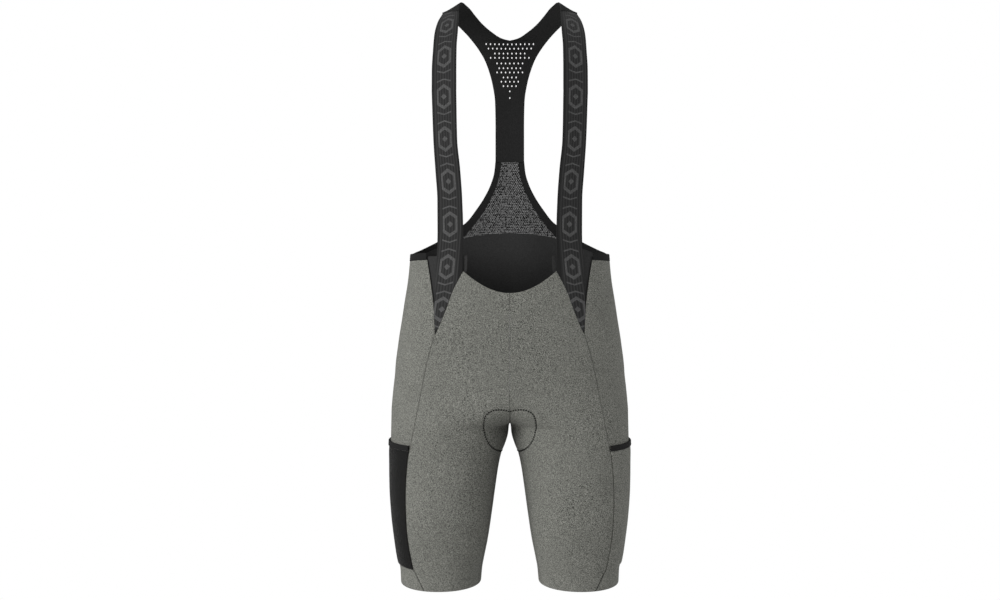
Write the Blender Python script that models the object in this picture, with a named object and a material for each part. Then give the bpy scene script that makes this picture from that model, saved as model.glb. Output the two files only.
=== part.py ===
"""Cargo bib cycling shorts, filled out as worn with no wearer.

Metres, +Z up. The front faces -Y and the wearer's left is +X. The origin lies midway between the
tops of the two shoulders, where a wearer holds the garment up.
"""
import bpy
import bmesh
import numpy as np

# Cloth
CLOTH = 0.0014           # wall of the shorts' panels
ELASTIC = 0.0012         # wall of the braces and of the upper back
SEAM = 0.0005            # between panels, measured round the body
GAP = 0.0003             # between edges that meet along a row
LAYER = 0.0026           # depth of the yoke's outer face under the panels

# Shorts, heights from the shoulders
BELLY = -0.444           # middle of the front edge
PEAK = -0.412            # where the front edge meets the brace
WAIST = -0.395           # top of the side panels
BACK_TOP = -0.455        # middle of the back panels' top
NOTCH = -0.505           # point of the notch that takes the brace
RISE_START = -0.595      # where the centre seams start to turn under
HEM_SEAM = -0.855        # top of the hem gusset
HEM = -0.887

# Pocket on each side panel
POCKET_TOP = -0.6775
POCKET_TAPE = 0.008
POCKET_CLOTH = 0.0012
POCKET_TAPE_CLOTH = 0.0030

# Seat pad inside the crotch
PAD_DEPTH = 0.0024       # of its lower face under the cloth's outer face
CROTCH_CLEARANCE = 0.0042  # further in beside the point where the legs part
PAD_EDGE = 0.0015
PAD_MIDDLE = 0.0085

CHARCOAL = (0.022, 0.022, 0.022)
BLACK = (0.016, 0.016, 0.016)
GREY = (0.165, 0.165, 0.148)
MESH_GREY = (0.075, 0.075, 0.075)

# Sections of the worn cloth: each half is a lobe from inner to outer and from front to back, and the
# two lobes run together above the crotch. Square is the power of the lobe's round: 2 is an ellipse.
SECTIONS = np.array((
    # z, outer, inner, front, back, square, blend
    (-0.150, 0.1630, -0.1630, -0.112, 0.116, 2.30, 0.004),
    (-0.225, 0.1600, -0.1600, -0.115, 0.113, 2.30, 0.004),
    (-0.300, 0.1540, -0.1540, -0.113, 0.103, 2.30, 0.004),
    (-0.345, 0.1500, -0.1500, -0.110, 0.094, 2.30, 0.004),
    (-0.395, 0.1530, -0.1530, -0.106, 0.090, 2.30, 0.004),
    (-0.425, 0.1560, -0.1560, -0.108, 0.093, 2.30, 0.004),
    (-0.455, 0.1610, -0.1610, -0.110, 0.100, 2.30, 0.004),
    (-0.485, 0.1660, -0.1660, -0.109, 0.109, 2.30, 0.004),
    (-0.520, 0.1720, -0.1720, -0.107, 0.119, 2.30, 0.004),
    (-0.560, 0.1770, -0.1770, -0.104, 0.127, 2.30, 0.006),
    (-0.590, 0.1810, -0.1650, -0.101, 0.128, 2.25, 0.012),
    (-0.610, 0.1830, -0.1050, -0.098, 0.127, 2.20, 0.020),
    (-0.625, 0.1840, -0.0520, -0.096, 0.124, 2.15, 0.020),
    (-0.636, 0.1840, -0.0180, -0.095, 0.120, 2.10, 0.020),
    (-0.645, 0.1840, 0.0012, -0.094, 0.116, 2.10, 0.020),
    (-0.660, 0.1840, 0.0027, -0.093, 0.108, 2.10, 0.015),
    (-0.675, 0.1840, 0.0070, -0.093, 0.102, 2.10, 0.010),
    (-0.690, 0.1845, 0.0130, -0.093, 0.097, 2.10, 0.010),
    (-0.710, 0.1845, 0.0175, -0.093, 0.092, 2.10, 0.010),
    (-0.740, 0.1840, 0.0220, -0.091, 0.088, 2.10, 0.010),
    (-0.780, 0.1815, 0.0275, -0.087, 0.083, 2.10, 0.010),
    (-0.820, 0.1770, 0.0335, -0.080, 0.077, 2.10, 0.010),
    (-0.850, 0.1725, 0.0395, -0.074, 0.072, 2.10, 0.010),
    (-0.866, 0.1690, 0.0425, -0.070, 0.070, 2.10, 0.010),
    (-0.887, 0.1680, 0.0445, -0.068, 0.069, 2.10, 0.010),
))
FAR_OUTSIDE = 0.26       # further from the middle of a half than any of its cloth
HALVINGS = 40            # of that distance when the cloth's face is looked for

# Seams as distances from the middle at each height
SIDE_FRONT_SEAM = np.array((
    # z, x
    (-0.505, 0.1095), (-0.530, 0.1175), (-0.572, 0.1275), (-0.602, 0.1335), (-0.640, 0.1405),
    (-0.669, 0.1465), (-0.690, 0.1505), (-0.750, 0.1540), (-0.790, 0.1530), (-0.820, 0.1500),
    (-0.840, 0.1465), (-0.855, 0.1437),
))
HEM_SEAM_FRONT = np.array((
    # z, x
    (-0.855, 0.1437), (-0.887, 0.1270),
))
NOTCH_FRONT_EDGE = np.array((
    # z, x
    (-0.412, 0.0678), (-0.440, 0.0825), (-0.468, 0.0930), (-0.494, 0.1040), (-0.505, 0.1095),
))
NOTCH_SIDE_EDGE = np.array((
    # z, x
    (-0.395, 0.1222), (-0.432, 0.1158), (-0.469, 0.1112), (-0.505, 0.1095),
))
SIDE_BACK_SEAM = np.array((
    # z, x
    (-0.395, 0.1180), (-0.505, 0.1320), (-0.590, 0.1420), (-0.660, 0.1440), (-0.750, 0.1480),
    (-0.887, 0.1400),
))
INSEAM = np.array((
    # z, degrees round the leg from its outer side, through the front
    (-0.6453, -180.0), (-0.690, -168.0), (-0.750, -161.0), (-0.860, -160.0), (-0.887, -156.0),
))

# Rows of the panels, shared by neighbours so that their edges run side by side
TOP_ROWS, HIP_ROWS, CROTCH_ROWS, THIGH_ROWS, LEG_ROWS, HEM_ROWS = 5, 5, 8, 4, 9, 2
CROTCH_SIDE, THIGH_SIDE = -0.655, -0.700      # side heights of the rows that fan out from the crotch
THIGH_INNER = -0.690
FRONT_COLUMNS, SIDE_COLUMNS, BACK_COLUMNS = 9, 8, 11

# Tape from the upper back down to the waist and round to the brace, and the mesh inside it
TAPE = np.array((
    # outer degrees and z, inner degrees and z; 90 is the middle of the back, 0 the side
    (79.5, -0.2255, 84.5, -0.2255),
    (77.5, -0.2440, 83.0, -0.2440),
    (74.5, -0.2640, 80.3, -0.2680),
    (70.0, -0.2860, 76.0, -0.2900),
    (62.5, -0.3065, 69.5, -0.3120),
    (54.0, -0.3250, 61.5, -0.3330),
    (44.0, -0.3420, 51.0, -0.3515),
    (37.0, -0.3528, 42.5, -0.3630),
    (27.0, -0.3655, 30.5, -0.3762),
    (14.0, -0.3775, 15.5, -0.3882),
    (0.0, -0.3840, 0.0, -0.3945),
    (-14.0, -0.3843, -14.0, -0.3945),
    (-28.0, -0.3845, -28.0, -0.3945),
))
MESH_BOTTOM = -0.354     # middle of the mesh's lower edge
MESH_STATIONS = 6        # of the tape that the mesh runs beside
MESH_TRIM = 0.4          # degrees between the mesh and the tape
MESH_COLUMNS = 4
YOKE_COLUMNS, YOKE_ROWS = 14, 5               # from the middle of the back to the tongue
TONGUE_COLUMNS, TONGUE_ROWS = 4, 7

# Yoke inside the waist: top and bottom at each place round the half waist
YOKE = np.array((
    # degrees, top, bottom
    (90.0, -0.3445, -0.4700), (72.0, -0.3465, -0.4660), (52.0, -0.3530, -0.4540), (34.0, -0.3680, -0.4380),
    (15.0, -0.3830, -0.4180), (0.0, -0.3895, -0.4080), (-25.0, -0.3895, -0.4080), (-56.0, -0.3895, -0.4100),
))
YOKE_TONGUE = np.array((
    # z, front degrees, side degrees
    (-0.410, -56.0, -25.0), (-0.440, -51.5, -28.5), (-0.470, -47.5, -33.0), (-0.507, -43.5, -37.5),
))

# Brace and shoulder: both edges, from the chest over the shoulder and down the middle of the back
BRACE = np.array((
    # z, outer x, inner x on the chest
    (-0.150, 0.1145, 0.0778), (-0.222, 0.1117, 0.0763), (-0.265, 0.1088, 0.0720), (-0.309, 0.1060, 0.0690),
    (-0.352, 0.1060, 0.0678), (-0.412, 0.1083, 0.0685), (-0.468, 0.1108, 0.0685), (-0.505, 0.1120, 0.0685),
))
SHOULDER = np.array((
    # outer x, y, z, inner x, y, z
    (0.1145, -0.0842, -0.118, 0.0780, -0.0985, -0.116),
    (0.1135, -0.0760, -0.087, 0.0781, -0.0880, -0.083),
    (0.1125, -0.0630, -0.060, 0.0770, -0.0710, -0.054),
    (0.1090, -0.0440, -0.036, 0.0768, -0.0490, -0.029),
    (0.1045, -0.0270, -0.021, 0.0775, -0.0290, -0.010),
    (0.1022, -0.0100, -0.012, 0.0745, -0.0100, 0.004),
    (0.1000, 0.0100, -0.0080, 0.0710, 0.0080, 0.0078),
    (0.0940, 0.0300, -0.0090, 0.0640, 0.0260, 0.0060),
    (0.0840, 0.0500, -0.0140, 0.0545, 0.0440, -0.0015),
    (0.0750, 0.0630, -0.0200, 0.0440, 0.0590, -0.0100),
    (0.0680, 0.0715, -0.0255, 0.0260, 0.0730, -0.0215),
    (0.0610, 0.0785, -0.0325, 0.0000, 0.0820, -0.0330),
    (0.0520, 0.0860, -0.0430, 0.0000, 0.0900, -0.0460),
    (0.0420, 0.0950, -0.0580, 0.0000, 0.0980, -0.0620),
    (0.0345, 0.1025, -0.0760, 0.0000, 0.1045, -0.0800),
    (0.0285, 0.1085, -0.0980, 0.0000, 0.1100, -0.1000),
    (0.0246, 0.1125, -0.1250, 0.0000, 0.1140, -0.1260),
    (0.0238, 0.1145, -0.1650, 0.0000, 0.1160, -0.1650),
    (0.0238, 0.1135, -0.1950, 0.0000, 0.1150, -0.1950),
    (0.0238, 0.1118, -0.2250, 0.0000, 0.1132, -0.2250),
))
BRACE_END = 4.15         # place along the shoulder's stations where the brace is sewn to the upper back
BRACE_SEAM = 0.03        # of a station between the brace and the upper back
BRACE_FOOT = 0.0065      # of the brace's lower end above the point of the notch
BRACE_RISE = -0.352      # height where the brace leaves the waist
BRACE_ROWS = (7, 4, 12)  # up to the front edge's peak, to where it leaves the waist and up the chest
NECK_STATION = 11        # station at the lowest point of the neck edge
ROW_LENGTH = 0.017       # of the brace's and the upper back's rows
LENGTH_SAMPLES = 200     # along which that length is measured
BRACE_COLUMNS, ARM_COLUMNS = 4, 4
CHEST = (0.07, 0.0, -0.12)  # point that the braces and the upper back face away from

# Seat pad: the panels' rows and columns that it covers on each half
PAD_FRONT_ROWS, PAD_BACK_ROWS = (12, 21), (11, 21)
PAD_FRONT_COLUMNS, PAD_BACK_COLUMNS = 3, 4
PAD_BEVEL_ROWS = 3       # from its thin edge to its full thickness
RISE_HUB = (0.011, -0.560)  # y and z of the point that the rise turns about
CROTCH_TURN = -90.0         # straight down from it


def smooth_curve(xs, ys, x):
    """Cubic through the points (xs, ys) that never overshoots between them."""
    xs, ys = np.asarray(xs, float), np.asarray(ys, float)
    if xs[0] > xs[-1]:
        xs, ys = xs[::-1], ys[::-1]
    step, rise = np.diff(xs), np.diff(ys)
    chord = rise / step
    slope = np.zeros(len(xs))
    same = chord[1:] * chord[:-1] > 0
    total = step[1:] + step[:-1]
    harmonic = 3 * total / ((total + step[1:]) / np.where(same, chord[:-1], 1)
                            + (total + step[:-1]) / np.where(same, chord[1:], 1))
    slope[1:-1] = np.where(same, harmonic, 0)
    slope[0], slope[-1] = chord[0], chord[-1]
    x = np.clip(np.asarray(x, float), xs[0], xs[-1])
    i = np.clip(np.searchsorted(xs, x, side="right") - 1, 0, len(step) - 1)
    t = (x - xs[i]) / step[i]
    return ((1 + 2 * t) * (1 - t) ** 2 * ys[i] + t * (1 - t) ** 2 * step[i] * slope[i]
            + t ** 2 * (3 - 2 * t) * ys[i + 1] + t ** 2 * (t - 1) * step[i] * slope[i + 1])


def along(table, x, column=1):
    """Value of a table's column at x, which its first column gives."""
    return smooth_curve(table[:, 0], table[:, column], x)


def section(z):
    """Outer, inner, front, back, square and blend at height z."""
    return [along(SECTIONS, z, column) for column in range(1, SECTIONS.shape[1])]


def field(x, y, z):
    """Below 0 inside the worn cloth, 0 on its outer face and above 0 outside, roughly in metres."""
    outer, inner, front, back, square, blend = section(z)
    middle_x, half_x = (outer + inner) / 2, (outer - inner) / 2
    middle_y, half_y = (front + back) / 2, (back - front) / 2
    deep = np.abs((y - middle_y) / half_y) ** square
    lobes = [(np.abs((side * x - middle_x) / half_x) ** square + deep) ** (1 / square) for side in (1, -1)]
    return half_x * (-blend * np.logaddexp(-lobes[0] / blend, -lobes[1] / blend) - 1)


def normals(points, step=0.0004):
    """Outward directions of the worn cloth at points on it."""
    x, y, z = points[..., 0], points[..., 1], points[..., 2]
    slope = np.stack([field(x + step, y, z) - field(x - step, y, z),
                      field(x, y + step, z) - field(x, y - step, z),
                      field(x, y, z + step) - field(x, y, z - step)], -1)
    return slope / np.linalg.norm(slope, axis=-1, keepdims=True)


def last_inside(reach, is_outside):
    """Largest distances, up to reach, that are not outside: found by halving."""
    low, high = np.zeros(reach.shape), reach.astype(float)
    for _ in range(HALVINGS):
        middle = (low + high) / 2
        outside = is_outside(middle)
        low, high = np.where(outside, low, middle), np.where(outside, middle, high)
    return low


def middles(z):
    outer, inner, front, back = section(z)[:4]
    return np.maximum((outer + inner) / 2, 0), (front + back) / 2


def on_half(degrees, z):
    """Point of the +X half at an angle round its middle: -90 in front, 0 outside, 90 behind."""
    angle, z = np.broadcast_arrays(np.radians(np.asarray(degrees, float)), np.asarray(z, float))
    x0, y0 = middles(z)
    reach = last_inside(np.full(z.shape, FAR_OUTSIDE), lambda r: (
        (field(x0 + r * np.cos(angle), y0 + r * np.sin(angle), z) > 0)
        | (x0 + r * np.cos(angle) < -1e-9)))
    return np.stack([x0 + reach * np.cos(angle), y0 + reach * np.sin(angle), z], -1)


def degrees_of(points):
    """Angle of a point of the +X half round its middle: -90 in front, 0 outside, 90 behind."""
    x0, y0 = middles(points[..., 2])
    return np.degrees(np.arctan2(points[..., 1] - y0, points[..., 0] - x0))


def degrees_at(x, z, side):
    """Angle of the point x from the middle, on the front (side -1) or the back (side 1)."""
    x, z = np.broadcast_arrays(np.asarray(x, float), np.asarray(z, float))
    y0 = middles(z)[1]
    reach = last_inside(np.full(z.shape, FAR_OUTSIDE), lambda r: field(x, y0 + side * r, z) > 0)
    return degrees_of(np.stack([x, y0 + side * reach, z], -1))


def on_rise(turn):
    """Point of the middle seam, turned about the hub: -180 is in front, -90 the crotch and 0 behind."""
    turn = np.radians(np.asarray(turn, float))
    y0, z0 = RISE_HUB
    reach = last_inside(np.full(turn.shape, FAR_OUTSIDE), lambda r: (
        field(0.0, y0 + r * np.cos(turn), z0 + r * np.sin(turn)) > 0))
    return np.stack([np.zeros(turn.shape), y0 + reach * np.cos(turn), z0 + reach * np.sin(turn)], -1)


def spans(*stops):
    """Evenly spaced values through stops given as value, count, value, count, value and so on."""
    values = [stops[0]]
    for count, stop in zip(stops[1::2], stops[2::2]):
        values.extend(np.linspace(values[-1], stop, count + 1)[1:])
    return np.array(values)


def rise_to_crotch(side):
    """Middle seam from the top of its turn to the crotch, and the turn's angle on the +X half."""
    front_y, back_y = (float(value) for value in section(RISE_START)[2:4])
    reach = (back_y if side > 0 else front_y) - RISE_HUB[0]
    start = np.degrees(np.arctan2(RISE_START - RISE_HUB[1], reach))
    return on_rise(np.linspace(start, CROTCH_TURN, CROTCH_ROWS + 1))


def between(start, end, columns):
    """Grid rows from the values at one edge to those at the other."""
    across = np.linspace(0, 1, columns + 1)
    return start[:, None] + (end - start)[:, None] * across


def inseam_points(z):
    return on_half(along(INSEAM, z), z)


def half_panel(side, top_z, top_rows, outer_degrees, outer_z, columns, top_bow, seam):
    """Panel of one half from the middle seam and inseam out to a side seam, in front (-1) or behind (1)."""
    rise = rise_to_crotch(side)
    above = spans(top_z, top_rows, NOTCH, HIP_ROWS, rise[0, 2])[:-1]
    straight = np.stack([np.zeros(above.shape), on_half(side * 90.0, above)[:, 1], above], -1)
    below = spans(rise[-1, 2], THIGH_ROWS, THIGH_INNER, LEG_ROWS, HEM_SEAM, HEM_ROWS, HEM)[1:]
    leg = inseam_points(below)
    inner = np.concatenate([straight, rise, leg])
    crotch = len(above) + len(rise) - 1
    inner_degrees = degrees_of(inner)
    inner_degrees[crotch] = side * 180.0
    if side > 0:
        inner_degrees[crotch + 1:] += np.where(inner_degrees[crotch + 1:] < 0, 360, 0)
    x0, y0 = middles(inner[:, 2])
    trim = np.degrees(seam / 2 / np.hypot(inner[:, 0] - x0, inner[:, 1] - y0))
    inner_degrees[crotch:] -= side * trim[crotch:]
    degrees = between(inner_degrees, outer_degrees, columns)
    heights = between(inner[:, 2], outer_z, columns)
    bow = np.linspace(0, 1, columns + 1)
    heights[:top_rows + 1] += ((bow ** 2 - bow) * top_bow)[None] * np.linspace(1, 0, top_rows + 1)[:, None]
    grid = on_half(degrees, heights)
    grid[:crotch + 1, 0] = inner[:crotch + 1] + (seam / 2, 0, 0)
    return grid


def seam_degrees(table, z, side, trim):
    """Angles of a seam given by its distances from the middle, moved round by trim metres."""
    degrees = degrees_at(along(table, z), z, side)
    point = on_half(degrees, z)
    x0, y0 = middles(z)
    return degrees + np.degrees(trim / np.hypot(point[:, 0] - x0, point[:, 1] - y0))


def side_heights():
    """Heights where the rows reach the side seams, from the notch down to the hem."""
    return spans(NOTCH, HIP_ROWS, RISE_START, CROTCH_ROWS, CROTCH_SIDE, THIGH_ROWS, THIGH_SIDE,
                 LEG_ROWS, HEM_SEAM, HEM_ROWS, HEM)


def front_panel_grid(seam=SEAM):
    notch_z = np.linspace(PEAK, NOTCH, TOP_ROWS + 1)[:-1]
    z = side_heights()
    body, hem = z[:-HEM_ROWS], z[-HEM_ROWS:]
    degrees = np.concatenate([
        seam_degrees(NOTCH_FRONT_EDGE, notch_z, -1, -SEAM),
        seam_degrees(SIDE_FRONT_SEAM, body, -1, -SEAM / 2),
        seam_degrees(HEM_SEAM_FRONT, hem, -1, -SEAM),
    ])
    return half_panel(-1, BELLY, TOP_ROWS, degrees, np.concatenate([notch_z, z]), FRONT_COLUMNS,
                      PEAK - BELLY, seam)


def back_panel_grid(seam=SEAM):
    z = np.concatenate([np.linspace(WAIST, NOTCH, TOP_ROWS + 1)[:-1], side_heights()])
    degrees = seam_degrees(SIDE_BACK_SEAM, z, 1, SEAM / 2)
    return half_panel(1, BACK_TOP, TOP_ROWS, degrees, z, BACK_COLUMNS, WAIST - BACK_TOP, seam)


def side_panel_grid():
    notch_z = np.linspace(WAIST, NOTCH, TOP_ROWS + 1)[:-1]
    z = side_heights()[:-HEM_ROWS]
    front = np.concatenate([
        seam_degrees(NOTCH_SIDE_EDGE, notch_z, -1, SEAM / 2),
        seam_degrees(SIDE_FRONT_SEAM, z, -1, SEAM / 2),
    ])
    z = np.concatenate([notch_z, z])
    heights = between(z, z, SIDE_COLUMNS)
    return on_half(between(front, seam_degrees(SIDE_BACK_SEAM, z, 1, -SEAM / 2), SIDE_COLUMNS), heights)


def hem_gusset_grid():
    z = spans(HEM_SEAM - GAP, HEM_ROWS, HEM)
    front = seam_degrees(HEM_SEAM_FRONT, z, -1, SEAM)
    back = seam_degrees(SIDE_BACK_SEAM, z, 1, -SEAM / 2)
    return on_half(between(front, back, SIDE_COLUMNS), between(z, z, SIDE_COLUMNS))


def table_rows(table, places):
    """Every column of a table at places counted in stations."""
    stations = np.arange(len(table))
    return np.stack([smooth_curve(stations, table[:, i], places) for i in range(table.shape[1])], -1)


def tape_grid():
    rows = table_rows(TAPE, np.linspace(0, len(TAPE) - 1, 2 * len(TAPE) - 1))
    degrees = between(rows[:, 0], rows[:, 2], 1)
    return on_half(degrees, between(rows[:, 1], rows[:, 3], 1))


def mesh_insert_grid():
    """Mesh inside the tape, from the upper back to its arched lower edge."""
    rows = table_rows(TAPE, np.arange(2 * MESH_STATIONS + 1) / 2)
    degrees, z = rows[:, 2] + MESH_TRIM, rows[:, 3]
    across = np.linspace(1, 0, MESH_COLUMNS + 1)
    heights = z[:, None] + (MESH_BOTTOM - z[-1]) * across ** 2 * np.linspace(0, 1, len(z))[:, None] ** 3
    return on_half(between(np.full(z.shape, 90.0), degrees, MESH_COLUMNS), heights)


def yoke_grids():
    """Inner layer of the waist, with a tongue that fills each notch behind the brace."""
    front, side = YOKE_TONGUE[0, 1:]
    degrees = spans(90.0, YOKE_COLUMNS, side, TONGUE_COLUMNS, front)
    top, bottom = along(YOKE, degrees), along(YOKE, degrees, 2)
    band = on_half(between(degrees, degrees, YOKE_ROWS), between(top, bottom, YOKE_ROWS))
    shared = bottom[-TONGUE_COLUMNS - 1:]
    tongue_z = np.linspace(shared[0], YOKE_TONGUE[-1, 0], TONGUE_ROWS + 1)
    edges = [along(YOKE_TONGUE, tongue_z, column) for column in (2, 1)]
    heights = between(tongue_z, tongue_z, TONGUE_COLUMNS)
    heights[0] = shared
    tongue = on_half(between(edges[0], edges[1], TONGUE_COLUMNS), heights)
    return [grid - normals(grid) * LAYER for grid in (band, tongue)]


def brace_grid():
    """Elastic brace from the notch up the chest to the shoulder."""
    z = spans(NOTCH + BRACE_FOOT, BRACE_ROWS[0], PEAK, BRACE_ROWS[1], BRACE_RISE, BRACE_ROWS[2], BRACE[0, 0])
    outer = np.minimum(along(BRACE, z), np.where(z < WAIST, along(NOTCH_SIDE_EDGE, z) - SEAM, 1.0))
    inner = np.maximum(along(BRACE, z, 2), np.where(z < PEAK, along(NOTCH_FRONT_EDGE, z) + 2 * SEAM, 0.0))
    degrees = between(degrees_at(outer, z, -1), degrees_at(inner, z, -1), BRACE_COLUMNS)
    chest = on_half(degrees, between(z, z, BRACE_COLUMNS))
    last = np.concatenate([chest[-1, 0], chest[-1, -1]])
    stations = np.concatenate([last[None], SHOULDER])
    edges = table_rows(stations, rows_between(stations, 0, BRACE_END + 1)[1:])
    shoulder = edges[:, None, :3] + (edges[:, None, 3:] - edges[:, None, :3]) * np.linspace(
        0, 1, BRACE_COLUMNS + 1)[None, :, None]
    return np.concatenate([chest, shoulder])


def rows_between(stations, start, end):
    """Places between two stations, about a row's length apart."""
    fine = np.linspace(start, end, LENGTH_SAMPLES)
    edges = table_rows(stations, fine)
    middle = (edges[:, :3] + edges[:, 3:]) / 2
    length = np.concatenate([[0], np.cumsum(np.linalg.norm(np.diff(middle, axis=0), axis=1))])
    count = int(round(length[-1] / ROW_LENGTH))
    return np.interp(np.linspace(0, length[-1], count + 1), length, fine)


def upper_back_grid():
    """Half of the Y from the shoulder seam over the back and down the stem."""
    places = np.concatenate([rows_between(SHOULDER, BRACE_END + BRACE_SEAM, NECK_STATION),
                             rows_between(SHOULDER, NECK_STATION, len(SHOULDER) - 1)[1:]])
    edges = table_rows(SHOULDER, places)
    return edges[:, None, :3] + (edges[:, None, 3:] - edges[:, None, :3]) * np.linspace(
        0, 1, ARM_COLUMNS + 1)[None, :, None]


def sheet_normals(grid):
    """Outward directions of a free sheet, straight back or forward on the middle line."""
    along_rows, across = np.gradient(grid, axis=0), np.gradient(grid, axis=1)
    out = np.cross(along_rows, across)
    out[np.abs(grid[..., 0]) < 1e-7, 0] = 0.0
    out /= np.linalg.norm(out, axis=-1, keepdims=True)
    inward = np.sum(out * (grid - np.array(CHEST)), -1) < 0
    return np.where(inward[..., None], -out, out)


def seat_pad_grids():
    """Lower and upper faces of half the pad, on the inside of the front and the back panel's points."""
    grids = []
    for panel, rows, columns in ((front_panel_grid(0), PAD_FRONT_ROWS, PAD_FRONT_COLUMNS),
                                 (back_panel_grid(0), PAD_BACK_ROWS, PAD_BACK_COLUMNS)):
        grid = panel[rows[0]:rows[1], :columns + 1]
        out = normals(grid)
        middle = np.abs(grid[..., 0]) < 1e-7
        out[middle, 0] = 0.0
        out /= np.linalg.norm(out, axis=-1, keepdims=True)
        row = np.arange(len(grid))[:, None]
        from_edge = np.minimum(np.minimum(row, row[::-1]) / PAD_BEVEL_ROWS, 1)
        across = np.linspace(0, 1, columns + 1)[None]
        thick = PAD_EDGE + (PAD_MIDDLE - PAD_EDGE) * (1 - (1 - from_edge) ** 2) * (1 - across ** 4)
        depth = np.full(grid.shape[:2], PAD_DEPTH)
        crotch = TOP_ROWS + HIP_ROWS + CROTCH_ROWS - rows[0]
        depth[crotch - 1:crotch + 2, 0] += CROTCH_CLEARANCE
        lower = grid - out * depth[..., None]
        grids.append((lower, lower - out * thick[..., None]))
    return grids


def mirrored(grid):
    return grid * (-1, 1, 1)


def cloth(name, sheets, material):
    """Closed wall from pairs of an outer and an inner grid, welded where the grids share points."""
    shape = bmesh.new()
    known = {}

    def corner(point, layer):
        key = (layer, *(int(round(v * 1e6)) for v in point))
        if key not in known:
            known[key] = shape.verts.new([float(v) for v in point])
        return known[key]

    for outer, inner in sheets:
        rows, columns = outer.shape[:2]
        for layer, grid in enumerate((outer, inner)):
            net = [[corner(grid[i, j], layer) for j in range(columns)] for i in range(rows)]
            for i in range(rows - 1):
                for j in range(columns - 1):
                    near, far = net[i][j], net[i + 1][j + 1]
                    for middle in (net[i][j + 1], net[i + 1][j]):
                        if len({near, middle, far}) == 3:
                            shape.faces.new((near, middle, far))
    pairs = {}
    for outer, inner in sheets:
        for p, q in zip(outer.reshape(-1, 3), inner.reshape(-1, 3)):
            pairs[corner(p, 0)] = corner(q, 1)
    for edge in [e for e in shape.edges if len(e.link_faces) == 1]:
        a, b = edge.verts
        if a in pairs and b in pairs:
            shape.faces.new((a, b, pairs[b], pairs[a]))
    bmesh.ops.recalc_face_normals(shape, faces=shape.faces)
    mesh = bpy.data.meshes.new(name)
    shape.to_mesh(mesh)
    shape.free()
    mesh.shade_smooth()
    mesh.set_sharp_from_angle(angle=np.radians(40))
    mesh.materials.append(material)
    thing = bpy.data.objects.new(name, mesh)
    bpy.context.scene.collection.objects.link(thing)
    return thing


def cloth_material(name, colour, roughness):
    material = bpy.data.materials.new(name)
    material.use_nodes = True
    shader = material.node_tree.nodes["Principled BSDF"]
    shader.inputs["Base Color"].default_value = (*colour, 1)
    shader.inputs["Roughness"].default_value = roughness
    shader.inputs["Metallic"].default_value = 0
    return material


def body_wall(grid, thickness, lift=0.0):
    """Outer and inner grid of a wall whose outer face is lifted off the worn surface."""
    out = normals(grid)
    return grid + out * lift, grid + out * (lift - thickness)


def each_side(name, grid_pair, colour, roughness=0.85):
    """The same piece for the wearer's left (+X) and right."""
    for side, turn in (("left", lambda grid: grid), ("right", mirrored)):
        outer, inner = (turn(grid) for grid in grid_pair)
        shade = colour[side] if isinstance(colour, dict) else colour
        cloth(f"{name}_{side}", [(outer, inner)], cloth_material(f"{name}_{side}", shade, roughness))


def across_middle(name, grid_pairs, colour, roughness=0.85):
    """One piece from half grids that end on the middle plane, and their mirror images."""
    sheets = list(grid_pairs) + [(mirrored(outer), mirrored(inner)) for outer, inner in grid_pairs]
    cloth(name, sheets, cloth_material(name, colour, roughness))


def pocket_grids(side_panel):
    """The side panel's points under the pocket and under the tape along its mouth."""
    z = side_panel[:, 0, 2]
    top = int(np.abs(z - POCKET_TOP).argmin())
    tape = np.stack([side_panel[top], side_panel[top]])
    tape[..., 2] += np.array((POCKET_TAPE, 0))[:, None] + 2 * GAP
    return side_panel[top:], tape


def build():
    for old in list(bpy.data.objects):
        bpy.data.objects.remove(old, do_unlink=True)
    side_panel = side_panel_grid()
    each_side("front_panel", body_wall(front_panel_grid(), CLOTH), GREY)
    each_side("side_panel", body_wall(side_panel, CLOTH), GREY)
    each_side("back_panel", body_wall(back_panel_grid(), CLOTH), GREY)
    each_side("hem_gusset", body_wall(hem_gusset_grid(), CLOTH), GREY)
    each_side("waist_tape", body_wall(tape_grid(), CLOTH), BLACK)
    across_middle("mesh_insert", [body_wall(mesh_insert_grid(), CLOTH)], MESH_GREY)
    across_middle("yoke", [body_wall(grid, CLOTH) for grid in yoke_grids()], CHARCOAL)
    brace = brace_grid()
    each_side("brace", (brace, brace - sheet_normals(brace) * ELASTIC), CHARCOAL)
    arm = upper_back_grid()
    across_middle("upper_back", [(arm, arm - sheet_normals(arm) * ELASTIC)], BLACK)
    pocket, tape = pocket_grids(side_panel)
    each_side("pocket", body_wall(pocket, POCKET_CLOTH, GAP + POCKET_CLOTH),
              {"left": GREY, "right": CHARCOAL})
    tape = on_half(degrees_of(tape), tape[..., 2])
    each_side("pocket_tape", body_wall(tape, POCKET_TAPE_CLOTH, 2 * GAP + POCKET_TAPE_CLOTH), BLACK)
    across_middle("seat_pad", seat_pad_grids(), CHARCOAL)


build()
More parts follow.
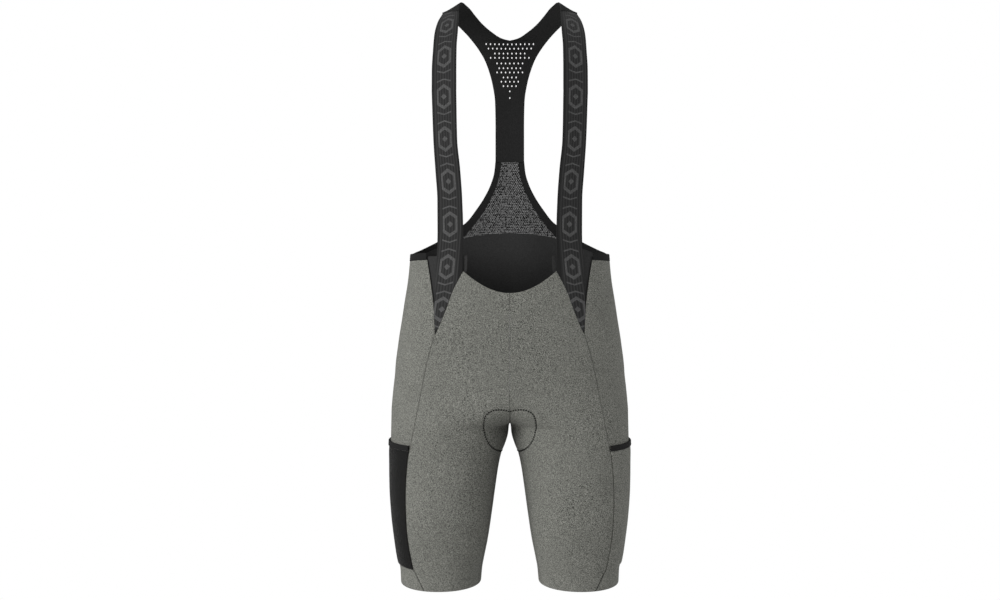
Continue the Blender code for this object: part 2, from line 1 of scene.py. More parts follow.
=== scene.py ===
"""Cargo bib cycling shorts: the worn cloth, its sewing and the studio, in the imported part's frame.

Metres, +Z up. The front faces -Y and the wearer's left is +X. The origin lies midway between the
tops of the two shoulders. The shapes repeat those of the part's source at a finer detail.
"""
import bpy
import numpy as np
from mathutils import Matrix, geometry


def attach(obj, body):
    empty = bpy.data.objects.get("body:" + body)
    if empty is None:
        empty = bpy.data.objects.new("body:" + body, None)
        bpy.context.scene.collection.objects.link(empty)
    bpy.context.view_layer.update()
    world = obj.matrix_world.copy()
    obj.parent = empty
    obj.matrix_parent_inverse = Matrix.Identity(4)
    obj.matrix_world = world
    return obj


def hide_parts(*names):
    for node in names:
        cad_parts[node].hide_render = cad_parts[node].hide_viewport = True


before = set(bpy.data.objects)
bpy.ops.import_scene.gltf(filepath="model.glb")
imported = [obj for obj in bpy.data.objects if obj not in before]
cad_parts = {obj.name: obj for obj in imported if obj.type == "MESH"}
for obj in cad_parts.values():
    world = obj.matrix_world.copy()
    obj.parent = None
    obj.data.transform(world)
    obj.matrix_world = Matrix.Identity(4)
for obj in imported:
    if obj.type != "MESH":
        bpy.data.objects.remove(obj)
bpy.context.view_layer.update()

# Cloth
CLOTH = 0.0014           # wall of the shorts' panels
ELASTIC = 0.0012         # wall of the braces and of the upper back
SEAM = 0.0002            # between panels, measured round the body
GAP = 0.0003             # between edges that meet along a row
LAYER = 0.0026           # depth of the yoke's outer face under the panels

# Shorts, heights from the shoulders
BELLY = -0.444           # middle of the front edge
PEAK = -0.412            # where the front edge meets the brace
WAIST = -0.395           # top of the side panels
BACK_TOP = -0.455        # middle of the back panels' top
NOTCH = -0.505           # point of the notch that takes the brace
RISE_START = -0.595      # where the centre seams start to turn under
HEM_SEAM = -0.855        # top of the hem gusset
HEM = -0.887

# Pocket on each side panel
POCKET_TOP = -0.6775
POCKET_TAPE = 0.008
POCKET_CLOTH = 0.0012
POCKET_TAPE_CLOTH = 0.0030

# Seat pad inside the crotch
PAD_DEPTH = 0.0024       # of its lower face under the cloth's outer face
CROTCH_CLEARANCE = 0.0042  # further in beside the point where the legs part
PAD_EDGE = 0.0015
PAD_MIDDLE = 0.0085

# Sections of the worn cloth: each half is a lobe from inner to outer and from front to back, and the
# two lobes run together above the crotch. Square is the power of the lobe's round: 2 is an ellipse.
SECTIONS = np.array((
    # z, outer, inner, front, back, square, blend
    (-0.150, 0.1630, -0.1630, -0.112, 0.116, 2.30, 0.004),
    (-0.225, 0.1600, -0.1600, -0.115, 0.113, 2.30, 0.004),
    (-0.300, 0.1540, -0.1540, -0.113, 0.103, 2.30, 0.004),
    (-0.345, 0.1500, -0.1500, -0.110, 0.094, 2.30, 0.004),
    (-0.395, 0.1530, -0.1530, -0.106, 0.090, 2.30, 0.004),
    (-0.425, 0.1560, -0.1560, -0.108, 0.093, 2.30, 0.004),
    (-0.455, 0.1610, -0.1610, -0.110, 0.100, 2.30, 0.004),
    (-0.485, 0.1660, -0.1660, -0.109, 0.109, 2.30, 0.004),
    (-0.520, 0.1720, -0.1720, -0.107, 0.119, 2.30, 0.004),
    (-0.560, 0.1770, -0.1770, -0.104, 0.127, 2.30, 0.006),
    (-0.590, 0.1810, -0.1650, -0.101, 0.128, 2.25, 0.012),
    (-0.610, 0.1830, -0.1050, -0.098, 0.127, 2.20, 0.020),
    (-0.625, 0.1840, -0.0520, -0.096, 0.124, 2.15, 0.020),
    (-0.636, 0.1840, -0.0180, -0.095, 0.120, 2.10, 0.020),
    (-0.645, 0.1840, 0.0012, -0.094, 0.116, 2.10, 0.020),
    (-0.660, 0.1840, 0.0027, -0.093, 0.108, 2.10, 0.015),
    (-0.675, 0.1840, 0.0070, -0.093, 0.102, 2.10, 0.010),
    (-0.690, 0.1845, 0.0130, -0.093, 0.097, 2.10, 0.010),
    (-0.710, 0.1845, 0.0175, -0.093, 0.092, 2.10, 0.010),
    (-0.740, 0.1840, 0.0220, -0.091, 0.088, 2.10, 0.010),
    (-0.780, 0.1815, 0.0275, -0.087, 0.083, 2.10, 0.010),
    (-0.820, 0.1770, 0.0335, -0.080, 0.077, 2.10, 0.010),
    (-0.850, 0.1725, 0.0395, -0.074, 0.072, 2.10, 0.010),
    (-0.866, 0.1690, 0.0425, -0.070, 0.070, 2.10, 0.010),
    (-0.887, 0.1680, 0.0445, -0.068, 0.069, 2.10, 0.010),
))
FAR_OUTSIDE = 0.26       # further from the middle of a half than any of its cloth
HALVINGS = 40            # of that distance when the cloth's face is looked for

# Seams as distances from the middle at each height
SIDE_FRONT_SEAM = np.array((
    # z, x
    (-0.505, 0.1095), (-0.530, 0.1175), (-0.572, 0.1275), (-0.602, 0.1335), (-0.640, 0.1405),
    (-0.669, 0.1465), (-0.690, 0.1505), (-0.750, 0.1540), (-0.790, 0.1530), (-0.820, 0.1500),
    (-0.840, 0.1465), (-0.855, 0.1437),
))
HEM_SEAM_FRONT = np.array((
    # z, x
    (-0.855, 0.1437), (-0.887, 0.1270),
))
NOTCH_FRONT_EDGE = np.array((
    # z, x
    (-0.412, 0.0678), (-0.440, 0.0825), (-0.468, 0.0930), (-0.494, 0.1040), (-0.505, 0.1095),
))
NOTCH_SIDE_EDGE = np.array((
    # z, x
    (-0.395, 0.1222), (-0.432, 0.1158), (-0.469, 0.1112), (-0.505, 0.1095),
))
SIDE_BACK_SEAM = np.array((
    # z, x
    (-0.395, 0.1180), (-0.505, 0.1320), (-0.590, 0.1420), (-0.660, 0.1440), (-0.750, 0.1480),
    (-0.887, 0.1400),
))
INSEAM = np.array((
    # z, degrees round the leg from its outer side, through the front
    (-0.6453, -180.0), (-0.690, -168.0), (-0.750, -161.0), (-0.860, -160.0), (-0.887, -156.0),
))

# Rows of the panels, shared by neighbours so that their edges run side by side
DETAIL = 6                                    # cells of a shell along each cell of its solid
TOP_ROWS, HIP_ROWS, CROTCH_ROWS, THIGH_ROWS, LEG_ROWS, HEM_ROWS = (
    DETAIL * rows for rows in (5, 5, 8, 4, 9, 2))
FRONT_COLUMNS, SIDE_COLUMNS, BACK_COLUMNS = (DETAIL * columns for columns in (9, 8, 11))
CROTCH_SIDE, THIGH_SIDE = -0.655, -0.700      # side heights of the rows that fan out from the crotch
THIGH_INNER = -0.690

# Tape from the upper back down to the waist and round to the brace, and the mesh inside it
LAP_TOP, LAP_LENGTH = -0.2215, 0.016          # where tape and mesh rise over the end of the stem
MESH_TAPE = np.array((
    # the tape's first stations, beside the mesh: outer x, z, inner x, z
    (0.0236, LAP_TOP, 0.0135, LAP_TOP), (0.0262, -0.2440, 0.0157, -0.2440),
    (0.0322, -0.2640, 0.0222, -0.2680), (0.0428, -0.2860, 0.0322, -0.2900),
    (0.0560, -0.3065, 0.0438, -0.3120), (0.0695, -0.3250, 0.0590, -0.3330),
))
WAIST_TAPE = np.array((
    # the rest: outer degrees and z, inner degrees and z; 90 is the middle of the back, 0 the side
    (44.0, -0.3420, 51.0, -0.3515), (37.0, -0.3528, 42.5, -0.3630), (27.0, -0.3655, 30.5, -0.3762),
    (14.0, -0.3775, 15.5, -0.3882), (0.0, -0.3840, 0.0, -0.3945), (-14.0, -0.3843, -14.0, -0.3945),
    (-28.0, -0.3845, -28.0, -0.3945),
))
TAPE_CLOTH = 0.0020
TAPE_LIFT, TAPE_LAP = 0.0004, 0.0017          # of its outer face over the panels, and more over the stem
TAPE_SHARES = (0, 0.04, 0.1, 0.2, 0.35, 0.5, 0.65, 0.8, 0.9, 0.96, 1.0)
MESH_STATIONS = 7        # of the tape that the mesh runs beside
MESH_COLUMNS = 4
YOKE_COLUMNS, YOKE_ROWS = 14, 5               # from the middle of the back to the tongue
TONGUE_COLUMNS, TONGUE_ROWS = 4, 7

# Yoke inside the waist: top and bottom at each place round the half waist
YOKE = np.array((
    # degrees, top, bottom
    (90.0, -0.3445, -0.4700), (72.0, -0.3465, -0.4660), (52.0, -0.3530, -0.4540), (34.0, -0.3680, -0.4380),
    (15.0, -0.3830, -0.4180), (0.0, -0.3895, -0.4080), (-25.0, -0.3895, -0.4080), (-56.0, -0.3895, -0.4100),
))
YOKE_TONGUE = np.array((
    # z, front degrees, side degrees
    (-0.410, -56.0, -25.0), (-0.440, -51.5, -28.5), (-0.470, -47.5, -33.0), (-0.507, -43.5, -37.5),
))

# Brace and shoulder: both edges, from the chest over the shoulder and down the middle of the back
BRACE = np.array((
    # z, outer x, inner x on the chest
    (-0.150, 0.1145, 0.0778), (-0.222, 0.1117, 0.0763), (-0.265, 0.1088, 0.0720), (-0.309, 0.1060, 0.0690),
    (-0.352, 0.1060, 0.0678), (-0.412, 0.1083, 0.0685), (-0.468, 0.1108, 0.0685), (-0.505, 0.1120, 0.0685),
))
SHOULDER = np.array((
    # outer x, y, z, inner x, y, z
    (0.1145, -0.0842, -0.118, 0.0780, -0.0985, -0.116),
    (0.1135, -0.0760, -0.087, 0.0781, -0.0880, -0.083),
    (0.1125, -0.0630, -0.060, 0.0770, -0.0710, -0.054),
    (0.1090, -0.0440, -0.036, 0.0768, -0.0490, -0.029),
    (0.1045, -0.0270, -0.021, 0.0775, -0.0290, -0.010),
    (0.1022, -0.0100, -0.012, 0.0745, -0.0100, 0.004),
    (0.1000, 0.0100, -0.0080, 0.0710, 0.0080, 0.0078),
    (0.0940, 0.0300, -0.0090, 0.0640, 0.0260, 0.0060),
    (0.0840, 0.0500, -0.0140, 0.0545, 0.0440, -0.0015),
    (0.0750, 0.0630, -0.0200, 0.0440, 0.0590, -0.0100),
    (0.0680, 0.0715, -0.0255, 0.0260, 0.0730, -0.0215),
    (0.0610, 0.0785, -0.0325, 0.0000, 0.0820, -0.0330),
    (0.0520, 0.0860, -0.0430, 0.0000, 0.0900, -0.0460),
    (0.0420, 0.0950, -0.0580, 0.0000, 0.0980, -0.0620),
    (0.0345, 0.1025, -0.0760, 0.0000, 0.1045, -0.0800),
    (0.0285, 0.1085, -0.0980, 0.0000, 0.1100, -0.1000),
    (0.0246, 0.1125, -0.1250, 0.0000, 0.1140, -0.1260),
    (0.0238, 0.1145, -0.1650, 0.0000, 0.1160, -0.1650),
    (0.0238, 0.1135, -0.1950, 0.0000, 0.1150, -0.1950),
    (0.0238, 0.1118, -0.2250, 0.0000, 0.1132, -0.2250),
))
BRACE_FOOT = 0.0065      # of the brace's lower end above the point of the notch
NECK_STATION = 11        # station at the lowest point of the neck edge
PATH_SAMPLES = 200       # along which the length of the arm and the stem is measured
CHEST = (0.07, 0.0, -0.12)  # point that the braces and the upper back face away from

# Seat pad: the panels' rows and columns that it covers on each half
PAD_FRONT_ROWS, PAD_BACK_ROWS = (12, 21), (11, 21)
PAD_FRONT_COLUMNS, PAD_BACK_COLUMNS = 3, 4
PAD_BEVEL_ROWS = 3       # from its thin edge to its full thickness
RISE_HUB = (0.011, -0.560)  # y and z of the point that the rise turns about
CROTCH_TURN = -90.0         # straight down from it

# Edges of the shells
END_ROWS = (0.0, 0.12, 0.4)                  # in cells from either end
END_COLUMNS = (0.0, 0.0018, 0.0045, 0.009)   # in shares of the width from either side
ROUND = 0.0009                               # of a cut edge or seam, from its line
EDGE_LEFT = 0.68                             # share of the wall that is left at its very edge

# Stitched outline of the seat pad on the cloth's face, half of it, from the middle in front round
# the inside of the leg to the middle behind
PAD_OUTLINE_FRONT = (
    # x, z
    (0.0000, -0.6168), (0.0073, -0.6148), (0.0145, -0.6139), (0.0233, -0.6145), (0.0313, -0.6184),
    (0.0364, -0.6258), (0.0384, -0.6356), (0.0380, -0.6457), (0.0362, -0.6550), (0.0330, -0.6630),
    (0.0283, -0.6712), (0.0225, -0.6775), (0.0174, -0.6816), (0.0130, -0.6853),
)
PAD_OUTLINE_BACK = (
    (0.0135, -0.6870), (0.0170, -0.6862), (0.0215, -0.6830), (0.0262, -0.6750), (0.0300, -0.6640),
    (0.0360, -0.6520), (0.0440, -0.6420), (0.0505, -0.6320), (0.0535, -0.6210), (0.0500, -0.6110),
    (0.0380, -0.6050), (0.0200, -0.6030), (0.0000, -0.6040),
)
OUTLINE_STEPS = 400
PAD_GROOVE, PAD_GROOVE_WIDTH = 0.0008, 0.0024
PAD_CHANNELS = ((0.42, 0.05), (0.0, 0.07))    # pressed channels: share of the half width, and its spread
PAD_CHANNEL_DEPTH = 0.0018
THIN_PAD = 0.004         # that has no channel

# Brace
BRACE_WIDTH = 0.0370
BRACE_MARGIN = 0.0026
RIBBED_WIDTH = BRACE_WIDTH - 2 * BRACE_MARGIN
RIBS = 8
RIB_HEIGHT = 0.0004
RIB_ROUND = 0.7          # power of a rib's round
RIB_SHOWN = 0.6          # of the ribs' height
RIB_SHARES = (0.22, 0.5, 0.78)                # columns across a rib
BRACE_EDGE = (0.0, 0.0003, 0.0007, 0.0012)    # columns from either edge
BRACE_SAMPLES = 800
SLOT_WIDTH, SLOT_LENGTH, SLOT_PITCH = 0.00040, 0.0013, 0.0032
WHOLE_ROWS = 4           # without slots, under the arm of the upper back
BRACE_LEAN = np.array((
    # z, x that the ribs and the motif lie further out
    (-0.352, 0.0), (-0.412, 0.004), (-0.454, 0.008), (-0.505, 0.0145),
))

# Woven motif of the braces
MOTIF_PERIOD, HEXAGON_WIDTH, HEXAGON_LENGTH = 0.062, 0.0105, 0.0190   # the last two are half of it
CHEVRON_PLACE, CHEVRON_SLANT, CHEVRON_WIDTH = 0.0262, 0.0035, 0.0011
HATCH_PITCH = 0.0016

# Upper back
NECK_CURVE = 2.1         # power of the neck edge's curve beside the middle
NECK_LOW = -0.0305
BRACE_TOP = 4.8          # station where the brace ends under the black arm of the upper back
ARM_START = 4.05         # station where the arm starts at its middle
ARM_SLANT, SLANT_LENGTH = (0.45, -0.42), 2.5  # stations at its outer and inner edge, and over how many
ARM_LIFT = 0.0011        # of the arm over the brace
ARM_COLUMNS = 16
ARM_ROW, STEM_ROW = 0.0035, 0.0040            # length of a row of the arm and of the stem
UPPER_CLOTH = ELASTIC * 0.8

NET_CLOTH = 0.0008
NET_DEPTH, NET_RISE = 0.0017, 0.0026          # of the mesh under the panels' face, and its rise over the stem
NET_LAP = 0.08           # share of the tape's width that the mesh runs under
NET_TUCK = 0.007         # of the mesh inside the yoke's upper edge
NET_DIP = 0.0012         # of the mesh there, from the tape's depth to the middle of the yoke's wall

# Perforations of the upper back, height and number in the row, and the cells of the cloth round them
HOLE_RADIUS, HOLE_PITCH, HOLE_SIDES = 0.0014, 0.0070, 10
HOLE_WIDTH = 0.0010       # half of it, across
SEAM_BOW = 0.0004         # of the arms' straight lower line while the cloth below it is divided
CELL, CELL_ROW = 0.0040, 0.87                 # length of a cell, and the height of a row in cells
CELL_CLEAR = 0.55         # of a cell, from the edges of the cloth
HOLE_CLEAR = 0.0012       # from the edge of a perforation
HOLE_ROWS = (
    (-0.0362, 12), (-0.0424, 11), (-0.0494, 8), (-0.0557, 10), (-0.0640, 7), (-0.0712, 6),
    (-0.0777, 7), (-0.0855, 4), (-0.0921, 5), (-0.0991, 4), (-0.1074, 1), (-0.1182, 1),
)

# Pocket cloth and the sewing
POCKET_SLACK, SLACK_LENGTH = 0.0009, 0.02     # of the pocket's mouth off the panel, and how far down
POCKET_TAPE_SHARES = (0, 0.03, 0.1, 0.2, 0.35, 0.5, 0.65, 0.8, 0.9, 0.97, 1.0)
SEAM_LIFT, SEWN_LIFT = 0.0001, 0.0003         # of the stitches of a seam and of the tape
SEAM_STITCH = dict(pitch=0.0011, reach=0.0011, width=0.00035, height=0.0002)
HEM_STITCH = dict(pitch=0.0011, reach=0.0013, width=0.0006, height=0.0003)
PAD_STITCH = dict(pitch=0.0038, share=0.86, width=0.0031, height=0.0007)
TAPE_STITCH = dict(pitch=0.0028, share=0.75, width=0.0005, height=0.0003)
POCKET_STITCH = dict(pitch=0.0027, share=0.75, width=0.0005, height=0.0003)

# Camera and studio
VIEW_DISTANCE, EYE_HEIGHT = 1.55, -0.454
PHOTO_WIDTH, PHOTO_MIDDLE = 1000, 509.8      # pixels: the photograph's width and the garment's middle
FLOOR_HEIGHT, FLOOR_RADIUS, FLOOR_SIDES = -2.2, 4.1, 96
SKY_LIGHT = 0.6          # of the white surroundings on the cloth
LIGHTS = (
    # name, place, turn, size, power
    ("key", (-2.45, -1.9, 0.3), (1.30, 0.0, -0.911), 1.8, 122.0),
    ("fill", (2.6, -0.75, 0.0), (1.37, 0.0, 1.290), 1.8, 32.0),
)


def smooth_curve(xs, ys, x):
    """Cubic through the points (xs, ys) that never overshoots between them."""
    xs, ys = np.asarray(xs, float), np.asarray(ys, float)
    if xs[0] > xs[-1]:
        xs, ys = xs[::-1], ys[::-1]
    step, rise = np.diff(xs), np.diff(ys)
    chord = rise / step
    slope = np.zeros(len(xs))
    same = chord[1:] * chord[:-1] > 0
    total = step[1:] + step[:-1]
    harmonic = 3 * total / ((total + step[1:]) / np.where(same, chord[:-1], 1)
                            + (total + step[:-1]) / np.where(same, chord[1:], 1))
    slope[1:-1] = np.where(same, harmonic, 0)
    slope[0], slope[-1] = chord[0], chord[-1]
    x = np.clip(np.asarray(x, float), xs[0], xs[-1])
    i = np.clip(np.searchsorted(xs, x, side="right") - 1, 0, len(step) - 1)
    t = (x - xs[i]) / step[i]
    return ((1 + 2 * t) * (1 - t) ** 2 * ys[i] + t * (1 - t) ** 2 * step[i] * slope[i]
            + t ** 2 * (3 - 2 * t) * ys[i + 1] + t ** 2 * (t - 1) * step[i] * slope[i + 1])


def along(table, x, column=1):
    """Value of a table's column at x, which its first column gives."""
    return smooth_curve(table[:, 0], table[:, column], x)


def section(z):
    """Outer, inner, front, back, square and blend at height z."""
    return [along(SECTIONS, z, column) for column in range(1, SECTIONS.shape[1])]


def field(x, y, z):
    """Below 0 inside the worn cloth, 0 on its outer face and above 0 outside, roughly in metres."""
    outer, inner, front, back, square, blend = section(z)
    middle_x, half_x = (outer + inner) / 2, (outer - inner) / 2
    middle_y, half_y = (front + back) / 2, (back - front) / 2
    deep = np.abs((y - middle_y) / half_y) ** square
    lobes = [(np.abs((side * x - middle_x) / half_x) ** square + deep) ** (1 / square) for side in (1, -1)]
    return half_x * (-blend * np.logaddexp(-lobes[0] / blend, -lobes[1] / blend) - 1)


def unit(vectors):
    return vectors / np.linalg.norm(vectors, axis=-1, keepdims=True)


def normals(points, step=0.0004):
    """Outward directions of the worn cloth at points on it."""
    x, y, z = points[..., 0], points[..., 1], points[..., 2]
    return unit(np.stack([field(x + step, y, z) - field(x - step, y, z),
                          field(x, y + step, z) - field(x, y - step, z),
                          field(x, y, z + step) - field(x, y, z - step)], -1))


def last_inside(reach, is_outside):
    """Largest distances, up to reach, that are not outside: found by halving."""
    low, high = np.zeros(reach.shape), reach.astype(float)
    for _ in range(HALVINGS):
        middle = (low + high) / 2
        outside = is_outside(middle)
        low, high = np.where(outside, low, middle), np.where(outside, middle, high)
    return low


def middles(z):
    outer, inner, front, back = section(z)[:4]
    return np.maximum((outer + inner) / 2, 0), (front + back) / 2


def on_half(degrees, z):
    """Point of the +X half at an angle round its middle: -90 in front, 0 outside, 90 behind."""
    angle, z = np.broadcast_arrays(np.radians(np.asarray(degrees, float)), np.asarray(z, float))
    x0, y0 = middles(z)
    reach = last_inside(np.full(z.shape, FAR_OUTSIDE), lambda r: (
        (field(x0 + r * np.cos(angle), y0 + r * np.sin(angle), z) > 0)
        | (x0 + r * np.cos(angle) < -1e-9)))
    return np.stack([x0 + reach * np.cos(angle), y0 + reach * np.sin(angle), z], -1)


def degrees_of(points):
    """Angle of a point of the +X half round its middle: -90 in front, 0 outside, 90 behind."""
    x0, y0 = middles(points[..., 2])
    return np.degrees(np.arctan2(points[..., 1] - y0, points[..., 0] - x0))


def degrees_at(x, z, side):
    """Angle of the point x from the middle, on the front (side -1) or the back (side 1)."""
    x, z = np.broadcast_arrays(np.asarray(x, float), np.asarray(z, float))
    y0 = middles(z)[1]
    reach = last_inside(np.full(z.shape, FAR_OUTSIDE), lambda r: field(x, y0 + side * r, z) > 0)
    return degrees_of(np.stack([x, y0 + side * reach, z], -1))


def on_rise(turn):
    """Point of the middle seam, turned about the hub: -180 is in front, -90 the crotch and 0 behind."""
    turn = np.radians(np.asarray(turn, float))
    y0, z0 = RISE_HUB
    reach = last_inside(np.full(turn.shape, FAR_OUTSIDE), lambda r: (
        field(0.0, y0 + r * np.cos(turn), z0 + r * np.sin(turn)) > 0))
    return np.stack([np.zeros(turn.shape), y0 + reach * np.cos(turn), z0 + reach * np.sin(turn)], -1)


def spans(*stops):
    """Evenly spaced values through stops given as value, count, value, count, value and so on."""
    values = [stops[0]]
    for count, stop in zip(stops[1::2], stops[2::2]):
        values.extend(np.linspace(values[-1], stop, count + 1)[1:])
    return np.array(values)


def rise_to_crotch(side):
    """Middle seam from the top of its turn to the crotch, and the turn's angle on the +X half."""
    front_y, back_y = (float(value) for value in section(RISE_START)[2:4])
    reach = (back_y if side > 0 else front_y) - RISE_HUB[0]
    start = np.degrees(np.arctan2(RISE_START - RISE_HUB[1], reach))
    return on_rise(np.linspace(start, CROTCH_TURN, CROTCH_ROWS + 1))


def between(start, end, across):
    """Grid rows from the values at one edge to those at the other, at shares of the way across."""
    return start[:, None] + (end - start)[:, None] * across


def inseam_points(z):
    return on_half(along(INSEAM, z), z)


def row_places(count):
    """Rows of a shell counted in cells, closer together beside both ends."""
    ends = np.array(END_ROWS)
    return np.concatenate([ends, np.arange(1, count), count - ends[::-1]])


def column_places(count):
    """Columns of a shell as shares of its width, closer together beside both sides."""
    ends = np.array(END_COLUMNS)
    return np.concatenate([ends, np.linspace(0, 1, count + 1)[1:-1], 1 - ends[::-1]])


def at_places(values, places):
    low = np.minimum(np.asarray(places).astype(int), len(values) - 2)
    part = (places - low).reshape(-1, *[1] * (values.ndim - 1))
    return values[low] * (1 - part) + values[low + 1] * part


def half_panel(side, top_z, top_rows, outer_degrees, outer_z, columns, top_bow, seam):
    """Panel of one half from the middle seam and inseam out to a side seam, in front (-1) or behind (1)."""
    rise = rise_to_crotch(side)
    above = spans(top_z, top_rows, NOTCH, HIP_ROWS, rise[0, 2])[:-1]
    straight = np.stack([np.zeros(above.shape), on_half(side * 90.0, above)[:, 1], above], -1)
    below = spans(rise[-1, 2], THIGH_ROWS, THIGH_INNER, LEG_ROWS, HEM_SEAM, HEM_ROWS, HEM)[1:]
    inner = np.concatenate([straight, rise, inseam_points(below)])
    crotch = len(above) + len(rise) - 1
    inner_degrees = degrees_of(inner)
    inner_degrees[crotch] = side * 180.0
    if side > 0:
        inner_degrees[crotch + 1:] += np.where(inner_degrees[crotch + 1:] < 0, 360, 0)
    x0, y0 = middles(inner[:, 2])
    trim = np.degrees(seam / 2 / np.hypot(inner[:, 0] - x0, inner[:, 1] - y0))
    inner_degrees[crotch:] -= side * trim[crotch:]
    rows = row_places(len(inner) - 1)
    inner, inner_degrees, outer_degrees, outer_z = (
        at_places(values, rows) for values in (inner, inner_degrees, outer_degrees, outer_z))
    across = column_places(columns)
    heights = between(inner[:, 2], outer_z, across)
    heights += ((across ** 2 - across) * top_bow)[None] * np.clip(1 - rows / top_rows, 0, 1)[:, None]
    grid = on_half(between(inner_degrees, outer_degrees, across), heights)
    middle = rows <= crotch
    grid[middle, 0] = inner[middle] + (seam / 2, 0, 0)
    return grid


def seam_degrees(table, z, side, trim):
    """Angles of a seam given by its distances from the middle, moved round by trim metres."""
    degrees = degrees_at(along(table, z), z, side)
    point = on_half(degrees, z)
    x0, y0 = middles(z)
    return degrees + np.degrees(trim / np.hypot(point[:, 0] - x0, point[:, 1] - y0))


def side_heights():
    """Heights where the rows reach the side seams, from the notch down to the hem."""
    return spans(NOTCH, HIP_ROWS, RISE_START, CROTCH_ROWS, CROTCH_SIDE, THIGH_ROWS, THIGH_SIDE,
                 LEG_ROWS, HEM_SEAM, HEM_ROWS, HEM)


def waist_to_hem():
    """The same from the waist."""
    return np.concatenate([np.linspace(WAIST, NOTCH, TOP_ROWS + 1)[:-1], side_heights()])


def front_panel_grid(seam=SEAM):
    notch_z = np.linspace(PEAK, NOTCH, TOP_ROWS + 1)[:-1]
    z = side_heights()
    body, hem = z[:-HEM_ROWS], z[-HEM_ROWS:]
    degrees = np.concatenate([
        seam_degrees(NOTCH_FRONT_EDGE, notch_z, -1, -SEAM),
        seam_degrees(SIDE_FRONT_SEAM, body, -1, -SEAM / 2),
        seam_degrees(HEM_SEAM_FRONT, hem, -1, -SEAM),
    ])
    return half_panel(-1, BELLY, TOP_ROWS, degrees, np.concatenate([notch_z, z]), FRONT_COLUMNS,
                      PEAK - BELLY, seam)


def back_panel_grid(seam=SEAM):
    z = waist_to_hem()
    degrees = seam_degrees(SIDE_BACK_SEAM, z, 1, SEAM / 2)
    return half_panel(1, BACK_TOP, TOP_ROWS, degrees, z, BACK_COLUMNS, WAIST - BACK_TOP, seam)


def strip(front, back, z, columns):
    """Grid round the outside of the body from the angles of its front edge to those of its back edge."""
    rows = row_places(len(z) - 1)
    front, back, z = (at_places(values, rows) for values in (front, back, z))
    across = column_places(columns)
    return on_half(between(front, back, across), between(z, z, across))


def side_panel_grid(first=0):
    """Side panel from the waist, or from a lower row, to the hem seam."""
    z = waist_to_hem()[:-HEM_ROWS]
    front = np.concatenate([
        seam_degrees(NOTCH_SIDE_EDGE, z[:TOP_ROWS], -1, SEAM / 2),
        seam_degrees(SIDE_FRONT_SEAM, z[TOP_ROWS:], -1, SEAM / 2),
    ])
    back = seam_degrees(SIDE_BACK_SEAM, z, 1, -SEAM / 2)
    return strip(front[first:], back[first:], z[first:], SIDE_COLUMNS)


def hem_gusset_grid():
    z = spans(HEM_SEAM - GAP, HEM_ROWS, HEM)
    return strip(seam_degrees(HEM_SEAM_FRONT, z, -1, SEAM), seam_degrees(SIDE_BACK_SEAM, z, 1, -SEAM / 2),
                 z, SIDE_COLUMNS)


def table_rows(table, places):
    """Every column of a table at places counted in stations."""
    stations = np.arange(len(table))
    return np.stack([smooth_curve(stations, table[:, i], places) for i in range(table.shape[1])], -1)


def tape_rows(stations):
    """Rows of the tape's edges in degrees and heights."""
    beside_mesh = MESH_TAPE.copy()
    for column in (0, 2):
        beside_mesh[:, column] = degrees_at(MESH_TAPE[:, column], MESH_TAPE[:, column + 1], 1)
    return table_rows(np.concatenate([beside_mesh, WAIST_TAPE]), stations)


def tape_grid():
    last = len(MESH_TAPE) + len(WAIST_TAPE) - 1
    rows = tape_rows(np.linspace(0, last, 2 * DETAIL * last + 1))
    across = np.array(TAPE_SHARES)
    return on_half(between(rows[:, 0], rows[:, 2], across), between(rows[:, 1], rows[:, 3], across))


def mesh_insert_grid():
    """Mesh inside the tape, from the upper back to its arched lower edge."""
    rows = tape_rows(np.linspace(0, MESH_STATIONS, 2 * DETAIL * MESH_STATIONS + 1))
    degrees, z = (rows[:, i + 2] + (rows[:, i] - rows[:, i + 2]) * NET_LAP for i in (0, 1))
    across = np.linspace(1, 0, DETAIL * MESH_COLUMNS + 1)
    places = between(np.full(z.shape, 90.0), degrees, 1 - across)
    low = along(YOKE, places[-1]) - NET_TUCK
    arch = (low - z[-1]) * (1 - (1 - across) ** 4)
    return on_half(places, z[:, None] + arch * np.linspace(0, 1, len(z))[:, None] ** 3)


def yoke_grids():
    """Inner layer of the waist, with a tongue that fills each notch behind the brace."""
    front, side = YOKE_TONGUE[0, 1:]
    columns = DETAIL * TONGUE_COLUMNS
    degrees = spans(90.0, DETAIL * YOKE_COLUMNS, side, columns, front)
    top, bottom = along(YOKE, degrees), along(YOKE, degrees, 2)
    down = row_places(DETAIL * YOKE_ROWS) / (DETAIL * YOKE_ROWS)
    band = on_half(between(degrees, degrees, down), between(top, bottom, down))
    shared = bottom[-columns - 1:]
    tongue_z = np.linspace(shared[0], YOKE_TONGUE[-1, 0], DETAIL * TONGUE_ROWS + 1)
    edges = [along(YOKE_TONGUE, tongue_z, column) for column in (2, 1)]
    across = np.linspace(0, 1, columns + 1)
    heights = between(tongue_z, tongue_z, across)
    heights[0] = shared
    tongue = on_half(between(edges[0], edges[1], across), heights)
    tongue[0] = band[-columns - 1:, -1]
    return band, tongue


def distances(path):
    """Distance walked along a path to each of its points."""
    return np.concatenate([[0], np.cumsum(np.linalg.norm(np.diff(path, axis=0), axis=1))])


def rows_between(stations, start, end, length):
    """Places between two stations, about a row's length apart."""
    fine = np.linspace(start, end, PATH_SAMPLES)
    edges = table_rows(stations, fine)
    walked = distances((edges[:, :3] + edges[:, 3:]) / 2)
    count = int(round(walked[-1] / length))
    return np.interp(np.linspace(0, walked[-1], count + 1), walked, fine)


def ribbon(edges, across):
    """Grid between the two edges that a table's rows give."""
    return edges[:, None, :3] + (edges[:, None, 3:] - edges[:, None, :3]) * across[None, :, None]


